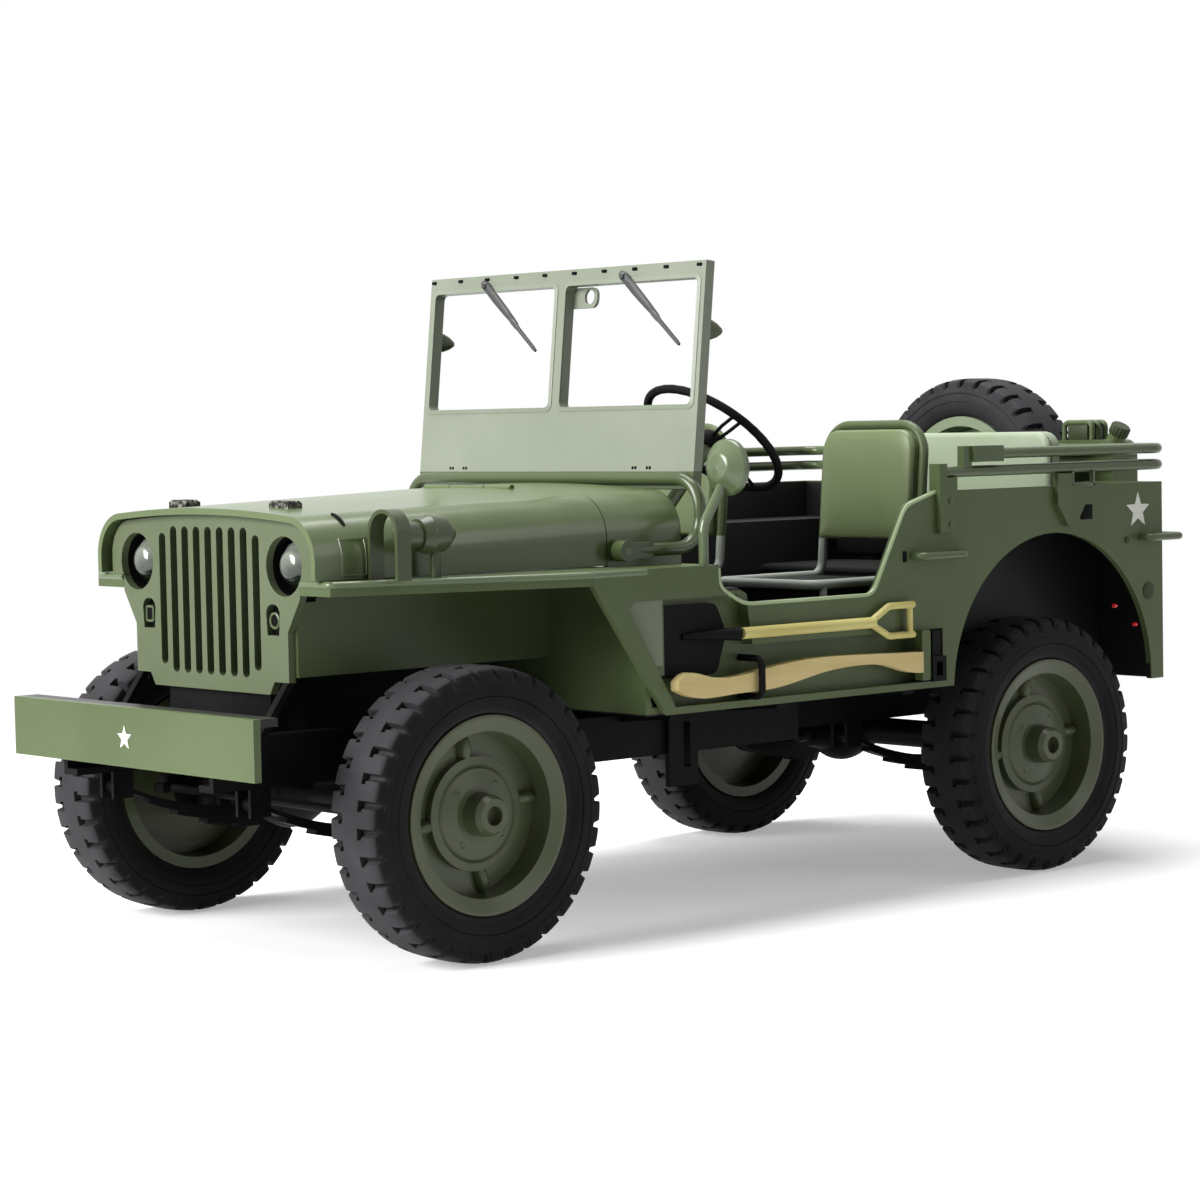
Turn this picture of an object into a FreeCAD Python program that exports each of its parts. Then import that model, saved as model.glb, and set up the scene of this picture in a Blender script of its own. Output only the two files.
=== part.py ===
import FreeCAD, Part
import math
import os

V = FreeCAD.Vector
os.makedirs("parts", exist_ok=True)

# An open army 4x4 car as a 1:10 toy, in millimetres. X runs across the car, its left side positive,
# Y runs from the front bumper to the tail, Z up from the floor. While the pieces are made, Y is
# counted from the front axle, and each is moved back to the middle of the car when it is written.

# Running gear
wheelbase = 205.0
wheel_offset = 61.5
hub_reach = 10.0
tyre_radius = 36.0
tyre_width = 19.0
tyre_shoulder = 16.6
tyre_belly = 30.0
tyre_bead_radius = 22.65
tyre_bead_width = 13.6
rim_radius = 24.2
rim_width = 16.6
flange = 1.4
barrel_wall = 1.4
spindle_radius = 3.0
bearing_gap = 0.05
kingpin_offset = 47.0
kingpin_radius = 1.5
steer_gap = 0.3

# Chassis
rail_outer = 33.0
rail_depth = 6.0
rail_wall = 1.6
rail_bottom = 43.5
rail_top = 56.0
bumper_front = -56.5
bumper_thick = 2.0
bumper_half = 52.85
bumper_low = 47.6
bumper_high = 62.35
bumper_flange = 7.0
frame_overhang = 45.0
frame_tail = wheelbase + frame_overhang
member_thick = 4.0
axle_tube = 4.0
diff_radius = 11.0
diff_half = 14.0
diff_offset = -12.0
spring_half = 41.0
spring_eye_z = 39.5
leaf_width = 4.2
leaf_thick = 1.1
eye_radius = 2.0
eye_pin = 1.05
cheek = 1.0

# Body
wall = 1.8
seam = 0.05
side_half = 72.7
sill = 56.0
tail_overhang = 48.2
tail = wheelbase + tail_overhang
tub_top = 109.3
tail_low = 52.0
arch_radius = 42.7
arch_z = 53.4
wheel_box_gap = 4.0
wheel_box_half = wheel_offset - tyre_width / 2 - wheel_box_gap
wing_top = 93.0
wing_lip = 3.5
wing_thick = 1.5
grille_front = -31.7
grille_thick = 2.0
step_front = 31.8
step_foot = 55.4
door_front = 74.3
door_rear_lead = 74.0
door_knee_lead = 61.0
door_top_lead = 49.0
door_rear = wheelbase - door_rear_lead
door_knee = wheelbase - door_knee_lead
door_high = wheelbase - door_top_lead
door_low = 82.2
firewall = 50.0
cowl_front = 52.3
cowl_rear = 76.0
bonnet_front = -33.7
bonnet_rear = 52.0
bonnet_half_front = 47.3
bonnet_half_rear = 55.0
bonnet_low = 93.3
bonnet_top_front = 110.3
bonnet_top_rear = 113.0
bonnet_shoulder = 11.0
bonnet_crown = 1.6
sheet = 1.6

# Windscreen
screen_half = 57.0
screen_foot_y = 80.4
screen_foot_z = 112.0
screen_height = 59.5
screen_lean = 6.17
screen_thick = 3.0
window_low = 22.0
window_high = 55.0
window_edge = 2.6
window_bar = 4.6
window_corner = 1.5
bow_tube = 1.7
bow_half = 60.0
bow_rear_y = 80.0
bow_high = 114.7
bow_low_bend = 7.5
bow_high_bend = 8.0
pivot_y = 54.8
pivot_z = 97.0
pivot_radius = 1.2

# The whole car, from the bumper to the hub of the spare wheel
spare_stand = 13.4
spare_y = tail + spare_stand
spare_x = -10.0
spare_z = 105.0
car_middle = (bumper_front + spare_y + hub_reach) / 2


# Shared forms
def block(x0, x1, y0, y1, z0, z1):
    return Part.makeBox(x1 - x0, y1 - y0, z1 - z0, V(x0, y0, z0))


def rod(start, end, radius):
    run = end - start
    return Part.makeCylinder(radius, run.Length, start, run)


def corner(before, at, after, radius):
    # the two tangent points and the middle of the arc that rounds one corner
    back = (before - at).normalize()
    onward = (after - at).normalize()
    half = back.getAngle(onward) / 2
    reach = radius / math.tan(half)
    inward = (back + onward).normalize()
    middle = at + inward * (radius / math.sin(half) - radius)
    return at + back * reach, middle, at + onward * reach


def line_of(points, radii, closed):
    count = len(points)
    stops = []
    for i, at in enumerate(points):
        end = not closed and i in (0, count - 1)
        if end or not radii[i]:
            stops.append((at, None, at))
        else:
            stops.append(corner(points[i - 1], at, points[(i + 1) % count], radii[i]))
    edges = []
    for i, (start, middle, end) in enumerate(stops):
        if middle:
            edges.append(Part.Arc(start, middle, end).toShape())
        if i < count - 1 or closed:
            follower = stops[(i + 1) % count][0]
            if (follower - end).Length > seam / 1000:
                edges.append(Part.LineSegment(end, follower).toShape())
    return Part.Wire(edges)


def even(radius, points):
    return radius if isinstance(radius, (list, tuple)) else [radius] * len(points)


def place(pair, plane, level):
    first, second = pair
    return {"yz": V(level, first, second), "xz": V(first, level, second), "xy": V(first, second, level)}[plane]


def plate(pairs, plane, start, end, radius=0):
    # a flat piece with the outline given in its plane, between two levels across that plane
    points = [place(pair, plane, start) for pair in pairs]
    face = Part.Face(line_of(points, even(radius, pairs), True))
    across = {"yz": V(1, 0, 0), "xz": V(0, 1, 0), "xy": V(0, 0, 1)}[plane]
    return face.extrude(across * (end - start))


def tube(points, radius, bend):
    path = line_of(points, even(bend, points), False)
    ring = Part.Wire(Part.makeCircle(radius, points[0], points[1] - points[0]))
    return path.makePipeShell([ring], True, False)


def turned(pairs, centre, axis, radius=0, angle=360):
    # pairs are the distance along the axis and the radius there
    across = V(0, 0, 1) if abs(axis.z) < abs(axis.x) + abs(axis.y) else V(1, 0, 0)
    points = [centre + axis * along + across * away for along, away in pairs]
    return Part.Face(line_of(points, even(radius, pairs), True)).revolve(centre, axis, angle)


def fused(shapes):
    shapes = list(shapes)
    return shapes[0].multiFuse(shapes[1:]).removeSplitter() if len(shapes) > 1 else shapes[0]


def cut(shape, tools):
    return shape.cut(fused(tools)) if tools else shape


def mirrored(shape):
    return shape.mirror(V(0, 0, 0), V(1, 0, 0))


def both(shape):
    return [shape, mirrored(shape)]


def save(name, shapes):
    shapes = shapes if isinstance(shapes, list) else [shapes]
    solids = [solid for shape in shapes for solid in shape.Solids]
    whole = solids[0] if len(solids) == 1 else Part.makeCompound(solids)
    whole = whole.copy()
    whole.translate(V(0, -car_middle, 0))
    whole.exportStep("parts/" + name + ".step")


# Chassis frame: two channel rails, cross members, spring hangers, outriggers
rail_inner = rail_outer - rail_depth
rail_front = bumper_front + bumper_thick
middle_member_lead = 41.0
member_places = {"front": -34.0, "engine": 31.0, "gearbox": 118.0, "middle": wheelbase - middle_member_lead}
member_length = 9.0
hanger_length = 6.0
hanger_drop = rail_bottom - spring_eye_z + eye_radius + cheek
outrigger_front = 62.0
outrigger_lead = 57.0
outrigger_middle = 100.0
outrigger_places = [outrigger_front, outrigger_middle, wheelbase - outrigger_lead]
outrigger_end = 69.0
outrigger_high = 5.0
skirt_x = 50.0
skirt_front = 42.0
skirt_rear = 124.7
skirt_low = 43.0
bracket_y = 75.6
bracket_span = 10.2
bracket_foot = 34.5
bracket_slot = 2.4
stay_x = 31.5
stay_wide = 2.2
stay_lead = 9.8


def rail():
    solid = block(rail_inner, rail_outer, rail_front, frame_tail, rail_bottom, rail_top)
    hollow = block(rail_inner - rail_wall, rail_outer - rail_wall, rail_front - rail_wall,
                   frame_tail + rail_wall, rail_bottom + rail_wall, rail_top - rail_wall)
    return solid.cut(hollow)


def hanger(y):
    # two cheeks under the rail with the pin that the spring eye turns on
    middle = (rail_inner + rail_outer) / 2
    inner = middle - leaf_width / 2 - bearing_gap
    outer = middle + leaf_width / 2 + bearing_gap
    low = rail_bottom - hanger_drop
    half = hanger_length / 2
    sides = [block(inner - cheek, inner, y - half, y + half, low, rail_bottom),
             block(outer, outer + cheek, y - half, y + half, low, rail_bottom)]
    pin = rod(V(inner - cheek, y, spring_eye_z), V(outer + cheek, y, spring_eye_z), eye_pin)
    return fused(sides + [pin])


def outrigger(y):
    low = rail_top - outrigger_high
    return plate([(rail_outer - rail_wall, low), (rail_outer - rail_wall, rail_top), (outrigger_end, rail_top),
                  (outrigger_end, rail_top - rail_wall)], "xz", y - member_thick / 2, y + member_thick / 2)


def skirt():
    # a plate along the outriggers, with a slotted bracket that hangs below it
    inner = skirt_x - rail_wall
    panel = block(inner, skirt_x, skirt_front, skirt_rear, skirt_low, rail_top - rail_wall)
    arm = block(skirt_x - seam, skirt_x + rail_wall, bracket_y, bracket_y + bracket_span, bracket_foot, rail_top - rail_wall)
    middle = bracket_y + bracket_span / 2
    slot_tool = block(inner, skirt_x + rail_wall * 2, middle, middle + bracket_slot, bracket_foot + bracket_slot * 2,
                      rail_top - bracket_slot * 2)
    return fused([panel, arm]).cut(slot_tool)


def stay():
    # a slanted strut from the rail's front end up to the foot of the grille
    top = grille_notch_z - seam
    foot = grille_front - stay_lead
    return plate([(foot, rail_top - rail_wall), (foot + stay_wide, rail_top - rail_wall),
                  (grille_front + stay_wide + seam, top), (grille_front + seam, top)], "yz",
                 stay_x - stay_wide / 2, stay_x + stay_wide / 2)


def frame():
    half = rail_inner + rail_wall
    members = [block(-half, half, y, y + member_length, rail_bottom + rail_wall, rail_top - rail_wall)
               for y in member_places.values()]
    tail_member = block(-half, half, frame_tail - member_thick, frame_tail, rail_bottom, rail_top)
    sides = [rail()]
    for axle in (0, wheelbase):
        sides += [hanger(axle - spring_half), hanger(axle + spring_half)]
    sides += [outrigger(y) for y in outrigger_places] + [skirt(), stay()]
    return fused([piece for side in sides for piece in both(side)] + members + [tail_member])


# Front bumper, a plate with a top flange, open below
def bumper():
    face = block(-bumper_half, bumper_half, bumper_front, bumper_front + bumper_thick, bumper_low, bumper_high)
    flange_top = block(-bumper_half, bumper_half, bumper_front, bumper_front + bumper_flange,
                       bumper_high - bumper_thick, bumper_high)
    return fused([face, flange_top])


# Leaf springs, slung under the axle
pack_top = 30.9
spring_seat = 31.1
leaf_lengths_share = [1.0, 0.78, 0.56, 0.34]
clamp_half = 4.5
clamp_low = 25.4


def leaf_spring(axle_y):
    drop = spring_eye_z - pack_top + leaf_thick / 2
    bend = (spring_half ** 2 + drop ** 2) / (2 * drop)
    turn = math.degrees(math.asin(spring_half / bend))
    middle = (rail_inner + rail_outer) / 2
    inner = middle - leaf_width / 2
    centre = V(0, axle_y, pack_top - leaf_thick / 2 + bend)
    pieces = []
    for number, share in enumerate(leaf_lengths_share):
        near = bend - leaf_thick / 2 + number * leaf_thick
        outline = [V(inner, axle_y, centre.z - near), V(inner + leaf_width, axle_y, centre.z - near),
                   V(inner + leaf_width, axle_y, centre.z - near - leaf_thick),
                   V(inner, axle_y, centre.z - near - leaf_thick)]
        leaf = Part.Face(Part.makePolygon(outline + outline[:1]))
        leaf.rotate(centre, V(1, 0, 0), -turn * share)
        pieces.append(leaf.revolve(centre, V(1, 0, 0), 2 * turn * share))
    for end in (-spring_half, spring_half):
        at = V(inner, axle_y + end, spring_eye_z)
        pieces.append(Part.makeCylinder(eye_radius, leaf_width, at, V(1, 0, 0)))
    pieces.append(block(inner, inner + leaf_width, axle_y - clamp_half, axle_y + clamp_half, clamp_low, spring_seat))
    pack = fused(pieces)
    holes = [Part.makeCylinder(eye_pin + bearing_gap, leaf_width, V(inner, axle_y + end, spring_eye_z), V(1, 0, 0))
             for end in (-spring_half, spring_half)]
    return cut(pack, holes)


# Axles with their differential housings
yoke_x = 40.0
yoke_thick = 2.0
yoke_arm = 2.5
yoke_half = 2.5
knuckle_half_height = 8.7
hub_face = 51.7
hub_disc = 10.0
hub_thick = 1.2
cover_length = 9.0
cover_radius = 8.0
nose_length = 14.0
nose_radius = 4.5
pad_half = 4.5


def axle_core(axle_y, nose_side, tube_end):
    centre = V(diff_offset, axle_y, tyre_radius)
    start = -tube_end - diff_offset
    end = tube_end - diff_offset
    housing = turned([(start, 0), (start, axle_tube), (-diff_half, axle_tube), (0, diff_radius), (diff_half, axle_tube),
                      (end, axle_tube), (end, 0)], centre, V(1, 0, 0),
                     [0, 0, axle_tube, diff_radius, axle_tube, 0, 0])
    cover = turned([(0, 0), (0, cover_radius), (cover_length, cover_radius), (cover_length, 0)], centre,
                   V(0, -nose_side, 0), [0, 0, cover_length / 2, 0])
    nose = turned([(0, 0), (0, cover_radius), (nose_length, nose_radius), (nose_length, 0)], centre,
                  V(0, nose_side, 0))
    middle = (rail_inner + rail_outer) / 2
    low, high = sorted((spring_seat, tyre_radius))
    pads = [block(x - leaf_width / 2, x + leaf_width / 2, axle_y - pad_half, axle_y + pad_half, low, high)
            for x in (-middle, middle)]
    return [housing, cover, nose] + pads


def yoke():
    low = tyre_radius - knuckle_half_height - steer_gap - yoke_arm
    high = tyre_radius + knuckle_half_height + steer_gap + yoke_arm
    back = block(yoke_x, yoke_x + yoke_thick, -yoke_half, yoke_half, low, high)
    arms = []
    for bottom in (low, high - yoke_arm):
        arm = block(yoke_x, kingpin_offset, -yoke_half, yoke_half, bottom, bottom + yoke_arm)
        tip = Part.makeCylinder(yoke_half, yoke_arm, V(kingpin_offset, 0, bottom))
        arms.append(fused([arm, tip]).cut(
            Part.makeCylinder(kingpin_radius + bearing_gap, yoke_arm, V(kingpin_offset, 0, bottom))))
    return fused([back] + arms)


def front_axle():
    return fused(axle_core(0, 1, yoke_x) + both(yoke()))


def hub_end(y, start):
    disc = rod(V(hub_face - hub_thick, y, tyre_radius), V(hub_face, y, tyre_radius), hub_disc)
    spindle = rod(V(start, y, tyre_radius), V(spindle_end, y, tyre_radius), spindle_radius)
    return fused([disc, spindle])


def rear_axle():
    return fused(axle_core(wheelbase, -1, hub_face - hub_thick) + both(hub_end(wheelbase, yoke_x)))


# Steering knuckle, with its arm, and the tie rod ahead of the axle
spindle_reach = 5.6
spindle_end = wheel_offset + spindle_reach
knuckle_radius = 4.4
arm_reach = 15.0
arm_width = 4.0
arm_thick = 2.0
arm_low = 36.8
arm_pin = 0.9
tie_radius = 1.2
tie_eye = 2.2
tie_play = 0.75
tie_slack = 0.15


def knuckle():
    low = tyre_radius - knuckle_half_height
    post = Part.makeCylinder(knuckle_radius, 2 * knuckle_half_height, V(kingpin_offset, 0, low))
    pin = Part.makeCylinder(kingpin_radius, 2 * (knuckle_half_height + steer_gap + yoke_arm),
                            V(kingpin_offset, 0, low - steer_gap - yoke_arm))
    arm = plate([(kingpin_offset - arm_width / 2, 0), (kingpin_offset + arm_width / 2, 0),
                 (kingpin_offset + arm_width / 2, -arm_reach - arm_width / 2),
                 (kingpin_offset - arm_width / 2, -arm_reach - arm_width / 2)],
                "xy", arm_low, arm_low + arm_thick, [0, 0, arm_width / 2 - seam, arm_width / 2 - seam])
    pin_low = arm_low - tie_eye - 2 * steer_gap
    tie_pin = Part.makeCylinder(arm_pin, arm_low - pin_low, V(kingpin_offset, -arm_reach, pin_low))
    return fused([post, pin, arm, tie_pin, hub_end(0, kingpin_offset)])


def tie_rod():
    # the eyes are slots, because the arm's pin moves a little fore and aft as the wheels steer
    level = arm_low - steer_gap - tie_eye / 2
    line = tie_play - arm_reach
    side = arm_pin + tie_slack
    bar = rod(V(-kingpin_offset + side, line, level), V(kingpin_offset - side, line, level), tie_radius * 0.9)
    eyes = []
    slots = []
    for x in (-kingpin_offset, kingpin_offset):
        around = arm_pin + tie_slack + tie_radius
        eyes.append(block(x - around, x + around, line - around - tie_play, line + around + tie_play,
                          level - tie_eye / 2, level + tie_eye / 2))
        slots.append(block(x - side, x + side, line - side - tie_play, line + side + tie_play, level - tie_eye,
                           level + tie_eye))
    return cut(fused([bar] + eyes), slots)


# Wheels: a dished rim with a domed centre and an open hub tip
dish_floor_radius = 18.2
dish_depth = 7.6
dome_radius = 13.9
hub_radius = 5.5
hub_hole = 2.4
hub_hole_depth = 2.6
web = 1.6
ring_radius = 20.2
dome_rise = 2.2
groove_inset = 2.4
groove_deep = 0.5
tread_count = 34
cut_width = 2.3
cut_depth = 2.4
cut_reach = 5.8
cut_over = 0.5


def rim_solid(centre, axis):
    # the outline runs from the bore, round the inner side, and back over the outer side
    outer = rim_width / 2
    inner = -rim_width / 2
    tip = hub_reach
    bore_end = spindle_reach + steer_gap
    seat = tyre_bead_radius - bearing_gap
    floor = outer - dish_depth
    crown = floor + dome_rise
    groove = dome_radius - groove_inset
    outline = [(inner, spindle_radius + bearing_gap), (inner, hub_radius), (floor - web * 1.5, hub_radius),
               (floor - web, dish_floor_radius), (floor - web, seat - barrel_wall * 1.4),
               (inner, seat - barrel_wall), (inner, rim_radius), (inner + flange, rim_radius),
               (inner + flange, seat), (outer - flange, seat), (outer - flange, rim_radius),
               (outer, rim_radius), (outer, rim_radius - flange / 2), (outer - flange, ring_radius),
               (floor, ring_radius - flange / 2), (floor, dome_radius), (crown, dome_radius),
               (crown + groove_deep, groove + groove_deep), (crown, groove), (crown + groove_deep, groove - groove_deep),
               (crown + web, hub_radius * 1.3), (crown + web, hub_radius), (tip - flange, hub_radius - groove_deep),
               (tip, hub_radius - flange), (tip, hub_hole), (tip - hub_hole_depth, hub_hole),
               (tip - hub_hole_depth, 0), (bore_end, 0), (bore_end, spindle_radius + bearing_gap)]
    return turned(outline, centre, axis)


def ring_points(along, away):
    turns = [2 * math.pi * number / tread_count - math.pi / 2 for number in range(tread_count)]
    return [V(along, away * math.cos(turn), away * math.sin(turn)) for turn in turns]


def tread_cut(side, turn):
    # a wedge that is deepest past the shoulder and runs out on the tread
    slope = cut_depth / cut_reach
    shoulder = tyre_shoulder / 2
    inner = shoulder - cut_reach - cut_over / slope
    outer = tyre_width / 2 + cut_over
    high = tyre_radius + cut_over
    half = cut_width / 2 * (cut_depth + cut_over) / cut_depth * (outer - inner) / (shoulder - inner)
    apex = V(side * inner, 0, high)
    left, right = V(side * outer, half, high), V(side * outer, -half, high)
    low = V(side * outer, 0, high - (outer - inner) * slope)
    faces = [Part.Face(Part.makePolygon([a, b, c, a]))
             for a, b, c in ((apex, left, low), (apex, low, right), (apex, right, left), (left, right, low))]
    wedge = Part.makeSolid(Part.makeShell(faces))
    wedge.rotate(V(0, 0, 0), V(1, 0, 0), turn)
    return wedge


def tyre_ring():
    # flat faces round the axis, with a corner at the floor, and two staggered rows of cuts
    round_share = 1 / math.cos(math.pi / tread_count)
    bead = tyre_bead_width / 2
    right = [(bead, tyre_bead_radius * round_share), (bead, (rim_radius + bearing_gap) * round_share),
             (tyre_width / 2, tyre_belly), (tyre_shoulder / 2, tyre_radius)]
    outline = right + [(-along, away) for along, away in reversed(right)]
    rings = [ring_points(along, away) for along, away in outline]
    faces = []
    for first, second in zip(rings, rings[1:] + rings[:1]):
        for here in range(tread_count):
            there = (here + 1) % tread_count
            faces.append(Part.Face(Part.makePolygon([first[here], first[there], second[there], second[here],
                                                     first[here]])))
    ring = Part.makeSolid(Part.makeShell(faces))
    pitch = math.degrees(2 * math.pi / tread_count)
    cuts = [tread_cut(1, pitch * number) for number in range(tread_count)]
    cuts += [tread_cut(-1, pitch * (number + 1 / 2)) for number in range(tread_count)]
    return ring.cut(Part.makeCompound(cuts))


def tyre_solid(centre, axis):
    tyre = tyre_pattern.copy()
    tyre.rotate(V(0, 0, 0), V(0, 0, 1), math.degrees(math.atan2(axis.y, axis.x)))
    tyre.translate(centre)
    return tyre


def wheels():
    for name, side, y in (("front_left", 1, 0), ("front_right", -1, 0), ("rear_left", 1, wheelbase),
                          ("rear_right", -1, wheelbase)):
        centre = V(side * wheel_offset, y, tyre_radius)
        save("rim_" + name, rim_solid(centre, V(side, 0, 0)))
        save("tyre_" + name, tyre_solid(centre, V(side, 0, 0)))


# Engine, gearbox and propeller shafts
engine_half = 15.0
engine_front = -14.0
engine_rear = 44.0
engine_high = 89.5
gearbox_radius = 9.0
gearbox_front = 60.0
gearbox_rear = 112.0
gearbox_z = 45.5
case_width = 15.0
case_length = 20.0
case_front = 92.0
shaft_radius = 1.8
joint_radius = 3.2
joint_length = 4.0


def engine():
    return block(-engine_half, engine_half, engine_front, engine_rear, rail_top - rail_wall, engine_high)


def gearbox():
    centre = V(0, gearbox_front, gearbox_z)
    length = gearbox_rear - gearbox_front
    body = turned([(0, 0), (0, gearbox_radius), (length / 4, gearbox_radius), (length / 3, gearbox_radius * 0.7),
                   (length, gearbox_radius * 0.6), (length, 0)], centre, V(0, 1, 0))
    case = block(diff_offset - case_width / 2, 0, case_front, case_front + case_length,
                 gearbox_z - gearbox_radius, gearbox_z + gearbox_radius)
    mount = block(-gearbox_radius * 0.8, gearbox_radius * 0.8, gearbox_rear, member_places["gearbox"],
                  gearbox_z - gearbox_radius / 2, gearbox_z + gearbox_radius / 2)
    return fused([body, case, mount])


def propeller(start_y, end_y):
    start = V(diff_offset, start_y, gearbox_z - gearbox_radius / 2)
    end = V(diff_offset, end_y, tyre_radius)
    along = (end - start).normalize()
    bar = rod(start, end, shaft_radius)
    cups = [rod(start, start + along * joint_length, joint_radius),
            rod(end - along * joint_length, end, joint_radius)]
    return fused([bar] + cups)


def propeller_shafts():
    gap = steer_gap
    front = propeller(case_front - gap, nose_length + gap)
    rear = propeller(case_front + case_length + gap, wheelbase - nose_length - gap)
    return [front, rear]


# Tub: sides with door cuts and wheel arches, floor, firewall, tail panel, rear wheel boxes
door_curve = 9.2
door_step = 4.7
door_corner = 6.0
door_knee_drop = 3.3
door_knee_bend = 5.0
tub_corner = 4.0
floor_thick = 2.0
box_top = arch_z + arch_radius + wall
box_lead = 4.3
rear_box_front = wheelbase - arch_radius - box_lead
recess_depth = 3.6
haft = 1.5
recess_front = 43.4
recess_slant = 15.2
recess_foot = recess_front + recess_slant
ramp_front = recess_front + steer_gap * 2
ramp_long = 11.2
ramp_rear = ramp_front + ramp_long
ramp_low = 66.0
ramp_thick = 0.8
blade_front = ramp_rear - ramp_thick
blade_length = 20.6
blade_rear = blade_front + blade_length
recess = {"low": sill + wall, "foot": recess_foot, "front": recess_front, "rear": rear_box_front, "high": 85.0,
          "middle": 72.0, "waist": blade_rear + haft * 6}
box_slope_high = 22.0
box_slope_long = 18.0


def side_outline():
    return [(step_front, wing_top), (step_front, wing_top - wing_lip), (step_foot, sill), (wheelbase, sill),
            (wheelbase, tail_low), (tail, tail_low), (tail, tub_top), (door_high, tub_top),
            (door_knee, tub_top - door_knee_drop), (door_rear, door_low), (door_front + door_curve, door_low),
            (door_front, door_low + door_step), (door_front, wing_top)]


def arch_tool(radius, x0, x1):
    round_part = rod(V(x0, wheelbase, arch_z), V(x1, wheelbase, arch_z), radius)
    below = block(x0, x1, wheelbase - radius, wheelbase + radius, 0, arch_z)
    return fused([round_part, below])


def recess_outline(grow):
    return [(recess["foot"] - grow, recess["low"] - grow), (recess["rear"], recess["low"] - grow),
            (recess["rear"], recess["middle"] + grow), (recess["waist"] + wall + grow, recess["middle"] + grow),
            (recess["waist"] + grow, recess["high"] - wall + grow), (recess["waist"] - wall, recess["high"] + grow),
            (recess["front"] + wall, recess["high"] + grow), (recess["front"] - grow, recess["high"] - wall)]


def wheel_box(x0, x1, inset, low):
    # the front top edge slopes, so that the seat back clears it
    front = rear_box_front + inset
    top = box_top - inset
    rear = tail - inset
    return plate([(front, low), (front, top - box_slope_high), (front + box_slope_long, top), (rear, top), (rear, low)],
                 "yz", x0, x1)


def blade_ramp():
    # a curved tongue at the front of the recess that the shovel's blade slides under
    floor = side_half - recess_depth
    high = side_half - steer_gap
    root = ramp_front + ramp_long / 3
    tongue = plate([(floor - ramp_thick, ramp_front), (floor + ramp_thick, ramp_front), (high, ramp_rear),
                    (high - ramp_thick, ramp_rear), (floor, root), (floor - ramp_thick, root)],
                   "xy", ramp_low, recess["high"])
    return tongue.common(plate(recess_outline(seam), "yz", floor - ramp_thick, side_half))


def tub():
    inner = side_half - wall
    side = plate(side_outline(), "yz", inner, side_half,
                 [0, 0, 0, 0, 0, 0, 0, door_knee_bend, door_knee_bend, door_corner, door_corner, wall, 0])
    side = side.cut(arch_tool(arch_radius, inner - wall, side_half + wall))
    recess_solid = plate(recess_outline(wall - seam), "yz", side_half - recess_depth - wall, inner)
    pocket = plate(recess_outline(0), "yz", side_half - recess_depth, side_half + wall)
    left = fused([fused([side, recess_solid]).cut(pocket), blade_ramp()])
    floor = block(-inner, inner, firewall, rear_box_front, sill, sill + floor_thick).cut(pocket)
    rear_floor = block(-wheel_box_half, wheel_box_half, rear_box_front, tail, sill, sill + floor_thick)
    front_wall = block(-inner, inner, firewall, firewall + wall, sill, wing_top).cut(pocket)
    back = block(-side_half, side_half, tail - wall, tail, sill, tub_top)
    corners = both(block(wheel_box_half, side_half, tail - wall, tail, tail_low, sill))
    boxes = both(wheel_box(wheel_box_half, inner, 0, sill))
    hollow = wheel_box(wheel_box_half + wall, inner, wall, 0)
    body = fused([left, mirrored(side), floor, rear_floor, front_wall, back] + corners + boxes)
    return cut(body, both(hollow))


# Front wings with their lip and the inner apron
wing_front_out = 50.5
wing_front_in = 38.35
apron_in = 32.6
apron_low = 69.4


def wing():
    out_rear = side_half - seam
    inner_side = side_half - wall - seam
    clear_x = lamp_x + lamp_opening + bucket_wall + steer_gap
    clear_y = grille_front + grille_thick + bucket_depth + steer_gap
    top = plate([(wing_front_in, grille_front), (wing_front_out, grille_front), (out_rear, step_front - seam),
                 (inner_side, step_front - seam), (inner_side, firewall - seam), (apron_in, firewall - seam),
                 (apron_in, clear_y), (clear_x, clear_y), (clear_x, grille_front + grille_thick - seam),
                 (wing_front_in, grille_front + grille_thick - seam)],
                "xy", wing_top - wing_thick, wing_top)
    lip = plate([(wing_front_in, grille_front), (wing_front_out, grille_front), (out_rear, step_front - seam),
                 (out_rear - wing_thick, step_front - seam), (wing_front_out - wing_thick, grille_front + wing_thick),
                 (wing_front_in, grille_front + wing_thick)], "xy", wing_top - wing_lip, wing_top)
    apron_front = grille_front + grille_thick + seam
    lamp_low = lamp_z - lamp_opening - bucket_wall - steer_gap
    apron = plate([(apron_front, apron_low), (firewall - seam, apron_low), (firewall - seam, wing_top),
                   (clear_y, wing_top), (clear_y, lamp_low), (apron_front, lamp_low)], "yz",
                  apron_in, apron_in + wing_thick)
    return fused([top, lip, apron])


# Grille panel with nine slots, the lamp openings and an arched top
grille_low = 65.0
grille_notch_z = 68.2
grille_foot_half = 25.0
grille_notch_half = 27.0
grille_waist_half = 33.0
grille_waist_z = 80.5
grille_neck_half = 38.3
grille_neck_z = 88.7
grille_head_half = 43.5
grille_gap = 0.1
grille_top = bonnet_top_front - sheet - grille_gap
grille_shoulder = 9.0
slot_count = 9
slot_pitch = 5.08
slot_width = 2.9
slot_low = 68.7
slot_high = 105.6
outer_slot_low = 70.6
outer_slot_high = 103.8
lamp_x = 32.0
lamp_z = 96.4
lamp_opening = 7.3
marker_x = 27.0
marker_z = 83.3
marker_width = 6.0
marker_height = 7.6


def slot(x, low, high):
    half = slot_width / 2
    return plate([(x - half, low), (x + half, low), (x + half, high), (x - half, high)], "xz",
                 grille_front - grille_thick, grille_front + 2 * grille_thick, half - seam)


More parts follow.
